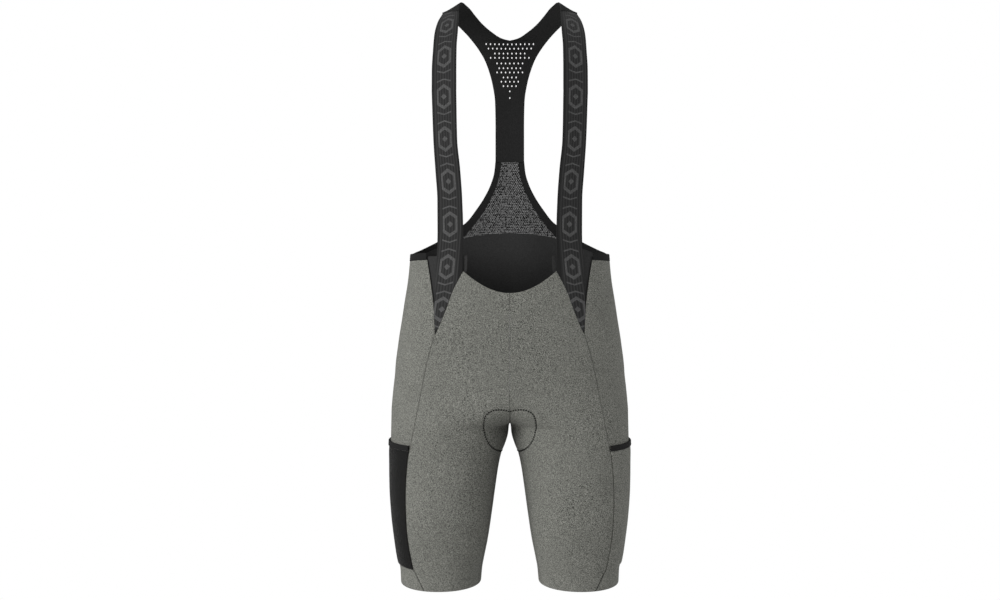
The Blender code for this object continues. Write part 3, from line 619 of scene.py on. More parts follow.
def sheet_normals(grid):
    """Outward directions of a free sheet, straight back or forward on the middle line."""
    out = np.cross(np.gradient(grid, axis=0), np.gradient(grid, axis=1))
    out[np.abs(grid[..., 0]) < 1e-7, 0] = 0.0
    out = unit(out)
    inward = np.sum(out * (grid - np.array(CHEST)), -1) < 0
    return np.where(inward[..., None], -out, out)


def arcs(grid, axis):
    """Distances walked along a grid's rows (axis 1) or columns (axis 0)."""
    steps = np.linalg.norm(np.diff(grid, axis=axis), axis=-1)
    zero = np.zeros_like(steps.take([0], axis))
    return np.concatenate([zero, np.cumsum(steps, axis=axis)], axis)


def edge_distance(grid, edges):
    """Distance of a grid's points from those of its edges that are named."""
    down, across = arcs(grid, 0), arcs(grid, 1)
    far = {"top": down, "bottom": down[-1:] - down, "start": across, "end": across[:, -1:] - across}
    return np.min([far[name] for name in edges], 0) if edges else np.full(grid.shape[:2], 1.0)


ALL_EDGES = ("top", "bottom", "start", "end")


def wall(grid, thickness, lift=0.0, out=None, edges=ALL_EDGES, shift=None):
    """Outer and inner face of cloth with rounded edges, and each point's place in its weave."""
    out = normals(grid) if out is None else out
    near = np.clip(1 - edge_distance(grid, edges) / ROUND, 0, 1) * (1 - EDGE_LEFT ** 2) ** 0.5
    half = thickness / 2 * np.sqrt(1 - near ** 2)
    middle = lift - thickness / 2
    raised = np.zeros(near.shape) if shift is None else shift
    outer = grid + out * (middle + half + raised)[..., None]
    inner = grid + out * (middle - half + np.minimum(raised, 0))[..., None]
    return outer, inner, np.stack([arcs(grid, 1), grid[..., 2]], -1)


def block(outer, inner, weave, keep=None, turned=False):
    """Points and faces of a grid wall; keep says which of its cells are cloth."""
    rows, columns = outer.shape[:2]
    index = np.arange(rows * columns).reshape(rows, columns)
    quads = np.stack([index[:-1, :-1], index[:-1, 1:], index[1:, 1:], index[1:, :-1]], -1)
    quads = quads.reshape(-1, 4) if keep is None else quads[keep]
    return (outer.reshape(-1, 3), inner.reshape(-1, 3), weave.reshape(-1, 2),
            quads[:, ::-1] if turned else quads)


def flipped(piece_block):
    """The same block on the other side of the middle plane."""
    outer, inner, weave, faces = piece_block
    return outer * (-1, 1, 1), inner * (-1, 1, 1), weave * (-1, 1), faces[:, ::-1]


def welded(blocks):
    """Outer and inner points, faces and the weave places of their corners, joined where points meet."""
    outer, inner, weave = (np.concatenate([b[i] for b in blocks]) for i in range(3))
    starts = np.cumsum([0] + [len(b[0]) for b in blocks])
    _, first, same = np.unique(np.round(outer, 6), axis=0, return_index=True, return_inverse=True)
    same = same.ravel()
    faces, corners = [], []
    for b, start in zip(blocks, starts):
        for row in (b[3] + start).tolist():
            joined = [int(same[c]) for c in row]
            keep = [k for k in range(len(row)) if joined[k] != joined[k - 1]]
            if len(keep) > 2:
                faces.append([joined[k] for k in keep])
                corners.append([row[k] for k in keep])
    return outer[first], inner[first], weave, faces, corners, first


def hung(name, mesh, material):
    """The object of a mesh, riding on the garment."""
    mesh.materials.append(material)
    thing = bpy.data.objects.new(name, mesh)
    bpy.context.scene.collection.objects.link(thing)
    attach(thing, "root")
    return thing


def make_piece(name, blocks, material, nodes=()):
    """Closed wall of cloth from its blocks, riding on the garment."""
    outer, inner, weave, faces, corners, first = welded(blocks)
    count = len(outer)
    ends = np.array([(a, b) for face in faces for a, b in zip(face, face[1:] + face[:1])])
    open_ends = ends[~np.isin(ends[:, 0] * count + ends[:, 1], ends[:, 1] * count + ends[:, 0])]
    rims = [[int(b), int(a), int(a) + count, int(b) + count] for a, b in open_ends]
    inside = [[c + count for c in face[::-1]] for face in faces]
    points = np.concatenate([outer, inner])
    mesh = bpy.data.meshes.new(name)
    mesh.from_pydata(points.tolist(), [], faces + inside + rims)
    places = [c for row in corners for c in row] + [c for row in corners for c in row[::-1]]
    rim_places = weave[first][[c % count for rim in rims for c in rim]] if rims else np.zeros((0, 2))
    uv = mesh.uv_layers.new(name="weave")
    uv.data.foreach_set("uv", np.concatenate([weave[places], rim_places]).ravel())
    volume = sum(np.dot(points[f[0]], np.cross(points[f[k]], points[f[k + 1]]))
                 for f in faces + inside + rims for k in range(1, len(f) - 1))
    if volume < 0:
        mesh.flip_normals()
    mesh.shade_smooth()
    mesh.set_sharp_from_angle(angle=np.radians(50))
    thing = hung(name, mesh, material)
    thing["face_area"] = sum(face_area([outer[c] for c in face]) for face in faces)
    if nodes:
        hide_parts(*nodes)
    return thing


def face_area(points):
    return sum(np.linalg.norm(np.cross(points[k] - points[0], points[k + 1] - points[0])) / 2
               for k in range(1, len(points) - 1))


def declare(thing, width, length, rests_on=(), with_pieces=()):
    """Works out the piece's own flat area, held between 0.301 and 1 of the box that it is cut from; the area
    is not kept.
    """
    area = float(np.clip(thing["face_area"], 0.301 * width * length, width * length))


def sides(name, piece_block, material, node, cut):
    """The same piece for the wearer's left (+X) and right."""
    made = []
    for side, turn in (("left", lambda b: b), ("right", flipped)):
        paint = material[side] if isinstance(material, dict) else material
        thing = make_piece(f"{name}_{side}", [turn(piece_block)], paint, [f"{node}_{side}"])
        declare(thing, *cut)
        made.append(thing)
    return made


# Materials

class Signal:
    """A number or colour of a material at each place of the cloth; sums on it are made there too."""

    def __init__(self, tree, socket):
        self.tree, self.socket = tree, socket

    def math(self, operation, *others):
        return add(self.tree, "Math", self, *others, operation=operation)

    def __add__(self, other):
        return self.math("ADD", other)

    def __sub__(self, other):
        return self.math("SUBTRACT", other)

    def __mul__(self, other):
        return self.math("MULTIPLY", other)

    def __truediv__(self, other):
        return self.math("DIVIDE", other)

    def __lt__(self, other):
        return self.math("LESS_THAN", other)

    def __gt__(self, other):
        return self.math("GREATER_THAN", other)

    def __abs__(self):
        return self.math("ABSOLUTE")


def feed(tree, socket, value):
    """Sets an input, or links it to a signal."""
    if isinstance(value, Signal):
        tree.links.new(value.socket, socket)
    elif value is not None:
        socket.default_value = value


def add(tree, kind, *values, **settings):
    """New shader node with its first inputs linked or set; gives its first output."""
    made = tree.nodes.new("ShaderNode" + kind)
    for key, value in settings.items():
        setattr(made, key, value)
    for socket, value in zip(made.inputs, values):
        feed(tree, socket, value)
    return Signal(tree, made.outputs[0])


def mixed(share, first, second):
    """Colour from the first to the second as share goes from 0 to 1."""
    made = share.tree.nodes.new("ShaderNodeMix")
    made.data_type = "RGBA"
    for socket, value in zip((made.inputs[0], made.inputs[6], made.inputs[7]), (share, first, second)):
        feed(share.tree, socket, (*value, 1) if isinstance(value, tuple) else value)
    return Signal(share.tree, made.outputs[2])


def shader(name, roughness, sheen, specular=0.12, sheen_roughness=0.45):
    """New material, its tree and the inputs of its surface."""
    material = bpy.data.materials.new(name)
    material.use_nodes = True
    surface = material.node_tree.nodes["Principled BSDF"].inputs
    for key, value in (("Roughness", roughness), ("Sheen Weight", sheen),
                       ("Sheen Roughness", sheen_roughness), ("Specular IOR Level", specular)):
        surface[key].default_value = value
    return material, material.node_tree, surface


def weave_places(tree):
    """Places across and along the cloth in metres, and in space."""
    coordinates = tree.nodes.new("ShaderNodeTexCoord")
    split = tree.nodes.new("ShaderNodeSeparateXYZ")
    tree.links.new(coordinates.outputs["UV"], split.inputs[0])
    return [Signal(tree, socket) for socket in (*split.outputs[:2], coordinates.outputs["Object"])]


def noise(place, scale, detail=2.0, roughness=0.5):
    made = place.tree.nodes.new("ShaderNodeTexNoise")
    for key, value in (("Vector", place), ("Scale", scale), ("Detail", detail), ("Roughness", roughness)):
        feed(place.tree, made.inputs[key], value)
    return Signal(place.tree, made.outputs[0])


def ramp(value, low, high, to_low=0.0, to_high=1.0):
    return add(value.tree, "MapRange", value, low, high, to_low, to_high)


def knit(across, along_cloth, wale, course):
    """Height of a plain knit: columns of v-shaped loops."""
    side = abs((across / wale).math("FRACT") - 0.5)
    loop = ((along_cloth / course + side * 0.9) * (2 * np.pi)).math("SINE")
    return (side * (2 * np.pi)).math("SINE") * (loop * 0.35 + 0.65)


def bump(surface, height, strength, distance):
    made = height.tree.nodes.new("ShaderNodeBump")
    for key, value in (("Strength", strength), ("Distance", distance), ("Height", height)):
        feed(height.tree, made.inputs[key], value)
    feed(height.tree, surface["Normal"], Signal(height.tree, made.outputs[0]))


def knit_cloth(name, dark, light, roughness, sheen, wale, course, grain, patchy=0.0, **gloss):
    """Knitted jersey of two close shades, speckled by its yarn, which is patchy where the yarn varies."""
    material, tree, surface = shader(name, roughness, sheen, **gloss)
    across, along_cloth, place = weave_places(tree)
    speckle = ramp(noise(place, grain, 2.0, 0.6), 0.37, 0.63)
    if patchy:
        speckle = (speckle - 0.5) * ramp(noise(place, 11.0, 1.5), 0.40, 0.62, 1 - patchy, 1.0) + 0.5
    shade = tree.nodes.new("ShaderNodeHueSaturation")
    feed(tree, shade.inputs["Color"], mixed(speckle, dark, light))
    feed(tree, shade.inputs["Value"], ramp(noise(place, 14.0, 2.0), 0.3, 0.7, 0.94, 1.05))
    feed(tree, surface["Base Color"], Signal(tree, shade.outputs[0]))
    bump(surface, knit(across, along_cloth, wale, course) + speckle * 0.6, 0.5, 0.00025)
    return material


def net_cloth(name, colour, pitch, hole):
    """Fine net whose small holes let light through."""
    material, tree, surface = shader(name, 0.8, 0.05)
    across, along_cloth, place = weave_places(tree)
    row_height = 0.866       # of the pitch, so that the holes of two rows stand a pitch apart
    row = along_cloth / (pitch * row_height)
    shift = row.math("FLOOR").math("MODULO", 2.0) * 0.5
    x = ((across + 1.0) / pitch + shift).math("FRACT") - 0.5
    y = (row.math("FRACT") - 0.5) * row_height
    far = (x * x + y * y).math("SQRT")
    speckle = ramp(noise(place, 400.0, 0.0, 0.5), 0.42, 0.58)
    feed(tree, surface["Base Color"], mixed(speckle, tuple(0.05 * c for c in colour), colour))
    feed(tree, surface["Alpha"], ramp(far, hole * 0.8, hole * 1.2))
    bump(surface, ramp(far, hole, 0.5), 0.6, 0.0004)
    return material


def elastic_cloth(name):
    """Ribbed elastic with a woven motif of long hexagons and paired chevrons."""
    material, tree, surface = shader(name, 0.85, 0.05)
    across, along_cloth, place = weave_places(tree)
    from_middle = abs((along_cloth / MOTIF_PERIOD).math("FRACT") - 0.5) * MOTIF_PERIOD
    wide = abs(across) / HEXAGON_WIDTH
    long = from_middle / HEXAGON_LENGTH
    hexagon = wide.math("MAXIMUM", wide * 0.4 + long)
    outline = (hexagon > 0.72) * (hexagon < 1.0)
    core = wide * 0.9 + long * 1.5 < 0.36
    slant = from_middle + wide * CHEVRON_SLANT
    chevron = (abs(slant - CHEVRON_PLACE) < CHEVRON_WIDTH) * (wide < 1.0)
    motif = (outline + core + chevron).math("MINIMUM", 1.0)
    hatch = (along_cloth * (2 * np.pi / HATCH_PITCH)).math("SINE") * 0.25 + 0.7
    rib = (across * (2 * np.pi * RIBS / RIBBED_WIDTH)).math("SINE")
    ribbed = mixed(ramp(rib, -1.0, 1.0), grey(0.011), grey(0.024))
    plain = mixed(abs(across) < BRACE_WIDTH / 2 - BRACE_MARGIN, grey(0.008), ribbed)
    grain = noise(place, 900.0, 2.0, 0.7)
    thread = mixed(ramp(grain, 0.35, 0.65), grey(0.040), grey(0.095))
    feed(tree, surface["Base Color"], mixed(motif * hatch, plain, thread))
    bump(surface, motif * 0.8 + (hatch + grain), 0.5, 0.0003)
    return material


def plain_thread(name, colour):
    material, tree, surface = shader(name, 0.85, 0.0, specular=0.05)
    grain = noise(weave_places(tree)[2], 1500.0)
    feed(tree, surface["Base Color"], mixed(grain, tuple(0.75 * c for c in colour), colour))
    bump(surface, grain, 0.4, 0.0002)
    return material


def grey(shade):
    return (shade,) * 3


# Jerseys: dark and light yarn, roughness, sheen, width and height of a loop, and fineness of the speckle
GREY_KNIT = knit_cloth("grey_knit", (0.016, 0.017, 0.015), (0.214, 0.215, 0.194), 0.95, 0.02, 0.0011,
                       0.0009, 950.0, patchy=0.25)
BLACK_KNIT = knit_cloth("black_knit", grey(0.018), grey(0.025), 0.9, 0.0, 0.0010, 0.0008, 600.0)
POCKET_KNIT = knit_cloth("pocket_knit", (0.0070, 0.0070, 0.0069), (0.0110, 0.0110, 0.0107), 0.9, 0.17,
                         0.0010, 0.0008, 600.0, specular=0.05, sheen_roughness=0.2)
BLACK_BAND = knit_cloth("black_band", grey(0.007), grey(0.011), 0.95, 0.0, 0.0008, 0.0006, 700.0)
BLACK_BACK = knit_cloth("black_back", grey(0.009), grey(0.013), 0.95, 0.0, 0.0009, 0.0007, 600.0)
GREY_NET = net_cloth("grey_net", grey(0.072), 0.0032, 0.105)
RIBBED = elastic_cloth("ribbed_elastic")
PAD_CLOTH = knit_cloth("pad_cloth", grey(0.014), grey(0.026), 0.9, 0.3, 0.0013, 0.0013, 500.0)
GREY_THREAD = plain_thread("grey_thread", (0.070, 0.070, 0.063))
DARK_THREAD = plain_thread("dark_thread", (0.010, 0.010, 0.0095))
BLACK_THREAD = plain_thread("black_thread", grey(0.020))


# Sewing

def stitches(name, runs, material):
    """Sewing thread: one small closed lozenge for each stitch from a to b, out from the cloth."""
    starts, ends, outs, wides, lifts = (np.concatenate([r[i] for r in runs]) for i in range(5))
    beside = unit(np.cross(ends - starts, outs))
    middle = (starts + ends) / 2
    ring = [middle + beside * (wides / 2)[:, None], middle + outs * lifts[:, None],
            middle - beside * (wides / 2)[:, None], middle - outs * (lifts / 2)[:, None]]
    points = np.stack([starts, *ring, ends], 1).reshape(-1, 3)
    lozenge = np.array([(0, k, k % 4 + 1) for k in (1, 2, 3, 4)] + [(5, k % 4 + 1, k) for k in (1, 2, 3, 4)])
    faces = (np.arange(len(starts))[:, None, None] * 6 + lozenge[None]).reshape(-1, 3)
    mesh = bpy.data.meshes.new(name)
    mesh.from_pydata(points.tolist(), [], faces.tolist())
    mesh.uv_layers.new(name="weave")
    mesh.shade_smooth()
    return hung(name, mesh, material)


def walked(points, outs, pitch):
    """Points about a pitch apart along a path, with the outward directions there."""
    length = distances(points)
    count = max(int(round(length[-1] / pitch)), 2)
    at = np.linspace(0, length[-1], count + 1)
    path, out = (np.stack([np.interp(at, length, values[:, i]) for i in range(3)], -1)
                 for values in (points, outs))
    return path, unit(out)


def line_of_stitches(points, outs, pitch, share, width, height, lift=0.0):
    """A run of stitches one after another; share is how much of the pitch each one shows."""
    path, out = walked(points, outs, pitch)
    path = path + out * lift
    ends = path[:-1] + (path[1:] - path[:-1]) * share
    return path[:-1], ends, out[:-1], np.full(len(ends), width), np.full(len(ends), height)


def zigzag(points, outs, pitch, reach, width, height):
    """Stitches that cross a seam from side to side."""
    path, out = walked(points, outs, pitch)
    beside = unit(np.cross(np.gradient(path, axis=0), out))
    turn = np.where(np.arange(len(path)) % 2, 1.0, -1.0)[:, None]
    path = path + beside * turn * reach
    count = len(path) - 1
    return path[:-1], path[1:], out[:-1], np.full(count, width), np.full(count, height)


def mirrored_run(run):
    flip = np.array((-1, 1, 1))
    return run[1] * flip, run[0] * flip, run[2] * flip, run[3], run[4]


def both(runs):
    return list(runs) + [mirrored_run(run) for run in runs]


def outline_points():
    """Seat pad's outline on the worn cloth, as a smooth path."""
    places = np.array([(float(degrees_at(x, z, side)) % 360, z)
                       for table, side in ((PAD_OUTLINE_FRONT, -1), (PAD_OUTLINE_BACK, 1))
                       for x, z in table])
    rows = table_rows(places, np.linspace(0, len(places) - 1, OUTLINE_STEPS))
    return on_half(rows[:, 0], rows[:, 1])


def groove(grid, path):
    """Dip of the cloth along a stitched path."""
    dip = np.zeros(grid.shape[:2])
    low, high = path[:, 2].min() - 0.01, path[:, 2].max() + 0.01
    near = (grid[..., 2] > low) & (grid[..., 2] < high) & (grid[..., 0] < path[:, 0].max() + 0.01)
    points = grid[near]
    gap = np.min(np.linalg.norm(points[:, None] - path[None, ::2], axis=-1), axis=1)
    dip[near] = -PAD_GROOVE * np.exp(-(gap / PAD_GROOVE_WIDTH) ** 2)
    return dip


# Pieces

def make_shorts():
    outline = outline_points()
    front, back, side, gusset = front_panel_grid(), back_panel_grid(), side_panel_grid(), hem_gusset_grid()
    for name, node, grid, cut in (("front_cloth", "front_panel", front, (0.215, 0.54)),
                                  ("back_cloth", "back_panel", back, (0.215, 0.54)),
                                  ("side_cloth", "side_panel", side, (0.21, 0.47)),
                                  ("hem_cloth", "hem_gusset", gusset, (0.15, 0.036))):
        shift = groove(grid, outline) if grid is front or grid is back else None
        sides(name, block(*wall(grid, CLOTH, shift=shift)), GREY_KNIT, node, cut)
    seams = [seam_line(points) for points in (side[:, -1], side[TOP_ROWS + 3:, 0], gusset[0], gusset[:, -1],
                                              inseam_line())]
    runs = [zigzag(line + out * SEAM_LIFT, out, **SEAM_STITCH) for line, out in seams]
    middle = [zigzag(*seam_line(grid[:crotch_row(), 0], flat=True), **SEAM_STITCH) for grid in (front, back)]
    stitches("seam_stitches", both(runs) + middle, GREY_THREAD)
    line, out = seam_line(gusset[:, 0])
    hem = zigzag(line + out * SEAM_LIFT, out, **HEM_STITCH)
    stitches("hem_seam_stitches", both([hem]), DARK_THREAD)
    pad = line_of_stitches(outline, normals(outline), **PAD_STITCH)
    stitches("pad_outline_stitches", both([pad]), DARK_THREAD)


def crotch_row():
    return len(END_ROWS) - 1 + TOP_ROWS + HIP_ROWS + CROTCH_ROWS


def inseam_line():
    z = np.linspace(float(INSEAM[0, 0]), HEM, 160)
    return inseam_points(z)


def seam_line(points, flat=False):
    """Path with outward directions; flat keeps it on the middle plane."""
    points = points.copy()
    if flat:
        points[:, 0] = 0.0
    out = normals(points)
    if flat:
        out[:, 0] = 0.0
        out = unit(out)
    return points, out


def smooth_step(share):
    share = np.clip(share, 0, 1)
    return share ** 2 * (3 - 2 * share)


def make_waist():
    tape, net_grid = tape_grid(), mesh_insert_grid()
    tape_lap, net_lap = (smooth_step(1 - (LAP_TOP - grid[..., 2]) / LAP_LENGTH) for grid in (tape, net_grid))
    sides("waist_band", block(*wall(tape, TAPE_CLOTH, lift=TAPE_LIFT + TAPE_LAP * tape_lap)), BLACK_BAND,
          "waist_tape", (0.016, 0.355))
    above = net_grid[..., 2] - net_grid[-1, :, 2]
    sewn_in = NET_DIP * smooth_step((2 * NET_TUCK - above) / NET_TUCK)
    lift = NET_RISE * net_lap - NET_DEPTH - sewn_in
    mesh = block(*wall(net_grid, NET_CLOTH, lift=lift, edges=("bottom", "end")))
    net = make_piece("back_net", [mesh, flipped(mesh)], GREY_NET, ["mesh_insert"])
    declare(net, 0.195, 0.17, rests_on=["waist_band_left", "waist_band_right"])
    band, tongue = yoke_grids()
    halves = [block(*wall(grid, CLOTH, lift=-LAYER, edges=edges))
              for grid, edges in ((band, ("end",)), (tongue, ()))]
    yoke = make_piece("yoke_cloth", halves + [flipped(b) for b in halves], BLACK_KNIT,
                      ["yoke"])
    declare(yoke, 0.71, 0.14)
    edge = tape[:, -2]
    run = line_of_stitches(edge, normals(edge), lift=SEWN_LIFT, **TAPE_STITCH)
    stitches("waist_stitches", both([run]), BLACK_THREAD)


def make_pockets():
    row = int(np.abs(waist_to_hem()[:-HEM_ROWS] - POCKET_TOP).argmin())
    pocket = side_panel_grid(row)
    down = edge_distance(pocket, ("top",))
    slack = POCKET_SLACK * np.exp(-(down / SLACK_LENGTH) ** 2)
    slack = slack * np.sin(np.pi * np.linspace(0, 1, pocket.shape[1]))[None] ** 0.5
    lift = GAP + POCKET_CLOTH
    sides("pocket_cloth", block(*wall(pocket, POCKET_CLOTH, lift=lift, shift=slack)),
          {"left": GREY_KNIT, "right": POCKET_KNIT},
          "pocket", (0.186, 0.18))
    top = pocket[0]
    degrees, z = degrees_of(top), top[:, 2]
    down = np.array(POCKET_TAPE_SHARES)
    tape = on_half(between(degrees, degrees, down), between(z + POCKET_TAPE + 2 * GAP, z + 2 * GAP, down))
    tape_lift = 2 * GAP + POCKET_TAPE_CLOTH
    sides("pocket_band", block(*wall(tape, POCKET_TAPE_CLOTH, lift=tape_lift)), BLACK_BAND,
          "pocket_tape", (0.0105, 0.186))
    line = line_of_stitches(pocket[-8], normals(pocket)[-8], lift=lift, **POCKET_STITCH)
    mouth = line_of_stitches(tape[:, 7], normals(tape[:, 7]), lift=tape_lift, **POCKET_STITCH)
    stitches("pocket_stitches_left", [line], GREY_THREAD)
    stitches("pocket_stitches_right", [mirrored_run(line)], BLACK_THREAD)
    stitches("pocket_band_stitches", both([mouth]), BLACK_THREAD)


def slot_rows(path, places):
    """Rows of the slots and of the bridges between them, as distances along a path and its places there."""
    walked_length = distances(path)
    count = int(round(walked_length[-1] / SLOT_PITCH))
    bridge = 1 - SLOT_LENGTH / SLOT_PITCH
    steps = np.append(np.stack([np.arange(count), np.arange(count) + bridge], -1).ravel(), count)
    steps = steps * walked_length[-1] / count
    return steps, np.interp(steps, walked_length, places)


def make_braces():
    rib = RIBBED_WIDTH / RIBS
    columns = list(BRACE_EDGE)
    for k, line in enumerate(BRACE_MARGIN + RIBBED_WIDTH * (np.arange(RIBS + 1) / RIBS)):
        columns += [line - SLOT_WIDTH / 2, line + SLOT_WIDTH / 2]
        if k < RIBS:
            columns += [line + rib * share for share in RIB_SHARES]
    columns += [BRACE_WIDTH - c for c in reversed(BRACE_EDGE)]
    columns = np.array(columns) / BRACE_WIDTH
    fine_z = np.linspace(NOTCH + BRACE_FOOT, BRACE[0, 0], BRACE_SAMPLES)
    middle_x = (along(BRACE, fine_z) + along(BRACE, fine_z, 2)) / 2
    steps, z = slot_rows(on_half(degrees_at(middle_x, fine_z, -1), fine_z), fine_z)
    lean = along(BRACE_LEAN, z)
    full_outer, full_inner = (degrees_at(along(BRACE, z, column) + lean, z, -1) for column in (1, 2))
    notch_side = np.where(z < WAIST, along(NOTCH_SIDE_EDGE, z) - SEAM, 1.0)
    notch_front = np.where(z < PEAK, along(NOTCH_FRONT_EDGE, z) + 2 * SEAM, 0.0)
    outer = degrees_at(np.minimum(along(BRACE, z), notch_side), z, -1)
    inner = degrees_at(np.maximum(along(BRACE, z, 2), notch_front), z, -1)
    degrees = between(outer, inner, columns)
    place = (degrees - full_outer[:, None]) / (full_inner - full_outer)[:, None]
    chest = on_half(degrees, between(z, z, columns))
    last = np.concatenate([chest[-1, 0], chest[-1, -1]])
    stations = np.concatenate([last[None], SHOULDER])
    fine = np.linspace(0, BRACE_TOP + 1, BRACE_SAMPLES)
    edges = table_rows(stations, fine)
    up, places = slot_rows((edges[:, :3] + edges[:, 3:]) / 2, fine)
    shoulder = ribbon(table_rows(stations, places[1:]), columns)
    grid = np.concatenate([chest, shoulder])
    across = np.concatenate([place, np.repeat(columns[None], len(shoulder), 0)])
    far = (across - 0.5) * BRACE_WIDTH
    phase = (far + RIBBED_WIDTH / 2) / rib
    ribs = RIB_HEIGHT * (np.abs(np.sin(np.pi * phase)) ** RIB_ROUND - 1)
    raised = np.where(np.abs(far) < RIBBED_WIDTH / 2, ribs, -RIB_HEIGHT / 2)
    outer_face, inner_face, _ = wall(grid, ELASTIC, out=sheet_normals(grid), shift=raised * RIB_SHOWN)
    run = np.concatenate([steps, steps[-1] + up[1:]])
    weave = np.stack([far, np.repeat(run[:, None], grid.shape[1], 1)], -1)
    rows = np.arange(len(grid) - 1)
    slotted = (rows % 2 == 1) & (grid[:-1, 0, 2] > WAIST) & (rows < len(rows) - WHOLE_ROWS)
    keep = np.ones((len(rows), grid.shape[1] - 1), bool)
    for k in range(RIBS + 1):
        keep[slotted, len(BRACE_EDGE) + (2 + len(RIB_SHARES)) * k] = False
    brace = block(outer_face, inner_face, weave, keep)
    sides("brace_strap", brace, RIBBED, "brace", (0.041, 0.525))


def upper_place(x, z):
    """Station down the stem and point of the upper back's face at a place in the front view."""
    low, high = np.full(x.shape, float(NECK_STATION)), np.full(x.shape, len(SHOULDER) - 1.0)

    def point(station):
        edges = table_rows(SHOULDER, station)
        share = np.clip(np.abs(x) / edges[:, 0], 0, 1)
        return edges[:, 3:] + (edges[:, :3] - edges[:, 3:]) * share[:, None]

    for _ in range(HALVINGS):
        middle = (low + high) / 2
        above = point(middle)[:, 2] > z
        low, high = np.where(above, middle, low), np.where(above, high, middle)
    found = point((low + high) / 2)
    return np.stack([x, found[:, 1], z], -1)


def make_upper_back():
    places = rows_between(SHOULDER, ARM_START, NECK_STATION, ARM_ROW)
    across = np.linspace(0, 1, ARM_COLUMNS + 1)
    slant = smooth_step(1 - (places - ARM_START) / SLANT_LENGTH)
    outer_places, inner_places = (places + slant * most for most in ARM_SLANT)
    edges = np.concatenate([table_rows(SHOULDER, outer_places)[:, :3],
                            table_rows(SHOULDER, inner_places)[:, 3:]], 1)
    lift = ARM_LIFT * smooth_step(2 * (BRACE_TOP + 0.5 - between(outer_places, inner_places, across)))
    side = SHOULDER[NECK_STATION - 1]
    neck = places > NECK_STATION - 1
    edges[neck, 5] = NECK_LOW + (side[5] - NECK_LOW) * (edges[neck, 3] / side[3]) ** NECK_CURVE
    arm = ribbon(edges, across)
    stem = table_rows(SHOULDER, rows_between(SHOULDER, NECK_STATION, len(SHOULDER) - 1, STEM_ROW))
    top = arm[-1]
    half = np.concatenate([top[::-1], stem[1:, :3], ribbon(stem[-1:], across)[0][1:]])
    loop = np.concatenate([half, (half[1:-1] * (-1, 1, 1))[::-1]])
    border = loop[:, [0, 2]].copy()
    seam_end = np.abs(top[:, 0]).max()
    on_seam = (np.abs(border[:, 0]) <= seam_end + 1e-9) & (border[:, 1] >= top[:, 2].min() - 1e-9)
    border[on_seam, 1] += SEAM_BOW * (1 - (border[on_seam, 0] / seam_end) ** 2)
    turn = np.arange(HOLE_SIDES) * 2 * np.pi / HOLE_SIDES
    holes = [np.stack([(k - (count - 1) / 2) * HOLE_PITCH + HOLE_WIDTH * np.cos(turn),
                       z + HOLE_RADIUS * np.sin(turn)], -1) for z, count in HOLE_ROWS for k in range(count)]
    centres = np.array([hole.mean(0) for hole in holes])
    xs, zs = np.meshgrid(np.arange(-20, 21) * CELL, np.arange(0, 60) * CELL * CELL_ROW)
    xs = xs + np.where(np.arange(60)[:, None] % 2, CELL / 2, 0)
    filler = np.stack([xs.ravel(), border[:, 1].max() - zs.ravel()], -1)
    filler = filler[inside_loop(filler, border)]
    from_border, from_holes = (np.min(np.linalg.norm(filler[:, None] - others[None], axis=-1), axis=1)
                               for others in (border, centres))
    clear = (from_border > CELL_CLEAR * CELL) & (from_holes > HOLE_RADIUS + HOLE_CLEAR)
    points, lines = np.zeros((0, 2)), []
    for ring in (border, *holes):
        lines += [(len(points) + k, len(points) + (k + 1) % len(ring)) for k in range(len(ring))]
        points = np.concatenate([points, ring])
    points = np.concatenate([points, filler[clear]])
    flat, _, triangles, _, _, _ = geometry.delaunay_2d_cdt(
        list(map(tuple, points.tolist())), lines, [], 0, 1e-7)
    flat, triangles = np.array([tuple(p) for p in flat]), np.array(triangles)
    middle = flat[triangles].mean(1)
    apart = (middle[:, None] - centres[None]) / (HOLE_WIDTH, HOLE_RADIUS)
    whole = np.min(np.linalg.norm(apart, axis=-1), axis=1) > 0.97
    triangles = triangles[inside_loop(middle, border) & whole]
    off_border = np.linalg.norm(flat[:, None] - border[None], axis=-1)
    on_border = off_border.min(1)[:, None] < 1e-5
    zone = np.where(on_border, loop[off_border.argmin(1)], upper_place(flat[:, 0], flat[:, 1]))
    a, b, c = (zone[triangles[:, k]] for k in range(3))
    if np.cross(b - a, c - a)[:, 1].sum() < 0:
        triangles = triangles[:, ::-1]
    arm_points = arm.reshape(-1, 3)
    arm_quads = block(arm, arm, np.zeros((*arm.shape[:2], 2)))[3]
    first = arm_points[arm_quads[0]]
    if np.dot(np.cross(first[1] - first[0], first[2] - first[0]), sheet_normals(arm)[0, 0]) < 0:
        arm_quads = arm_quads[:, ::-1]
    parts = [(arm_points, arm_quads), (arm_points * (-1, 1, 1), arm_quads[:, ::-1]), (zone, triangles)]
    blocks = []
    for (points, faces), out in zip(parts, smooth_normals(parts)):
        up = out * (lift.reshape(-1, 1) if len(points) == lift.size else 0.0)
        blocks.append((points + up, points + up - out * UPPER_CLOTH, points[:, [0, 2]], faces))
    cloth = make_piece("upper_back_cloth", blocks, BLACK_BACK, ["upper_back"])
    declare(cloth, 0.21, 0.32, rests_on=["brace_strap_left", "brace_strap_right"])


def inside_loop(points, loop):
    """Which points lie inside a closed loop of the plane."""
    x, y = points[:, 0, None], points[:, 1, None]
    a, b = loop, np.roll(loop, -1, 0)
    crosses = (a[None, :, 1] > y) != (b[None, :, 1] > y)
    rise = np.where(crosses, b[None, :, 1] - a[None, :, 1], 1.0)
    at = a[None, :, 0] + (y - a[None, :, 1]) * (b[None, :, 0] - a[None, :, 0]) / rise
    return (np.sum(crosses & (x < at), axis=1) % 2) == 1


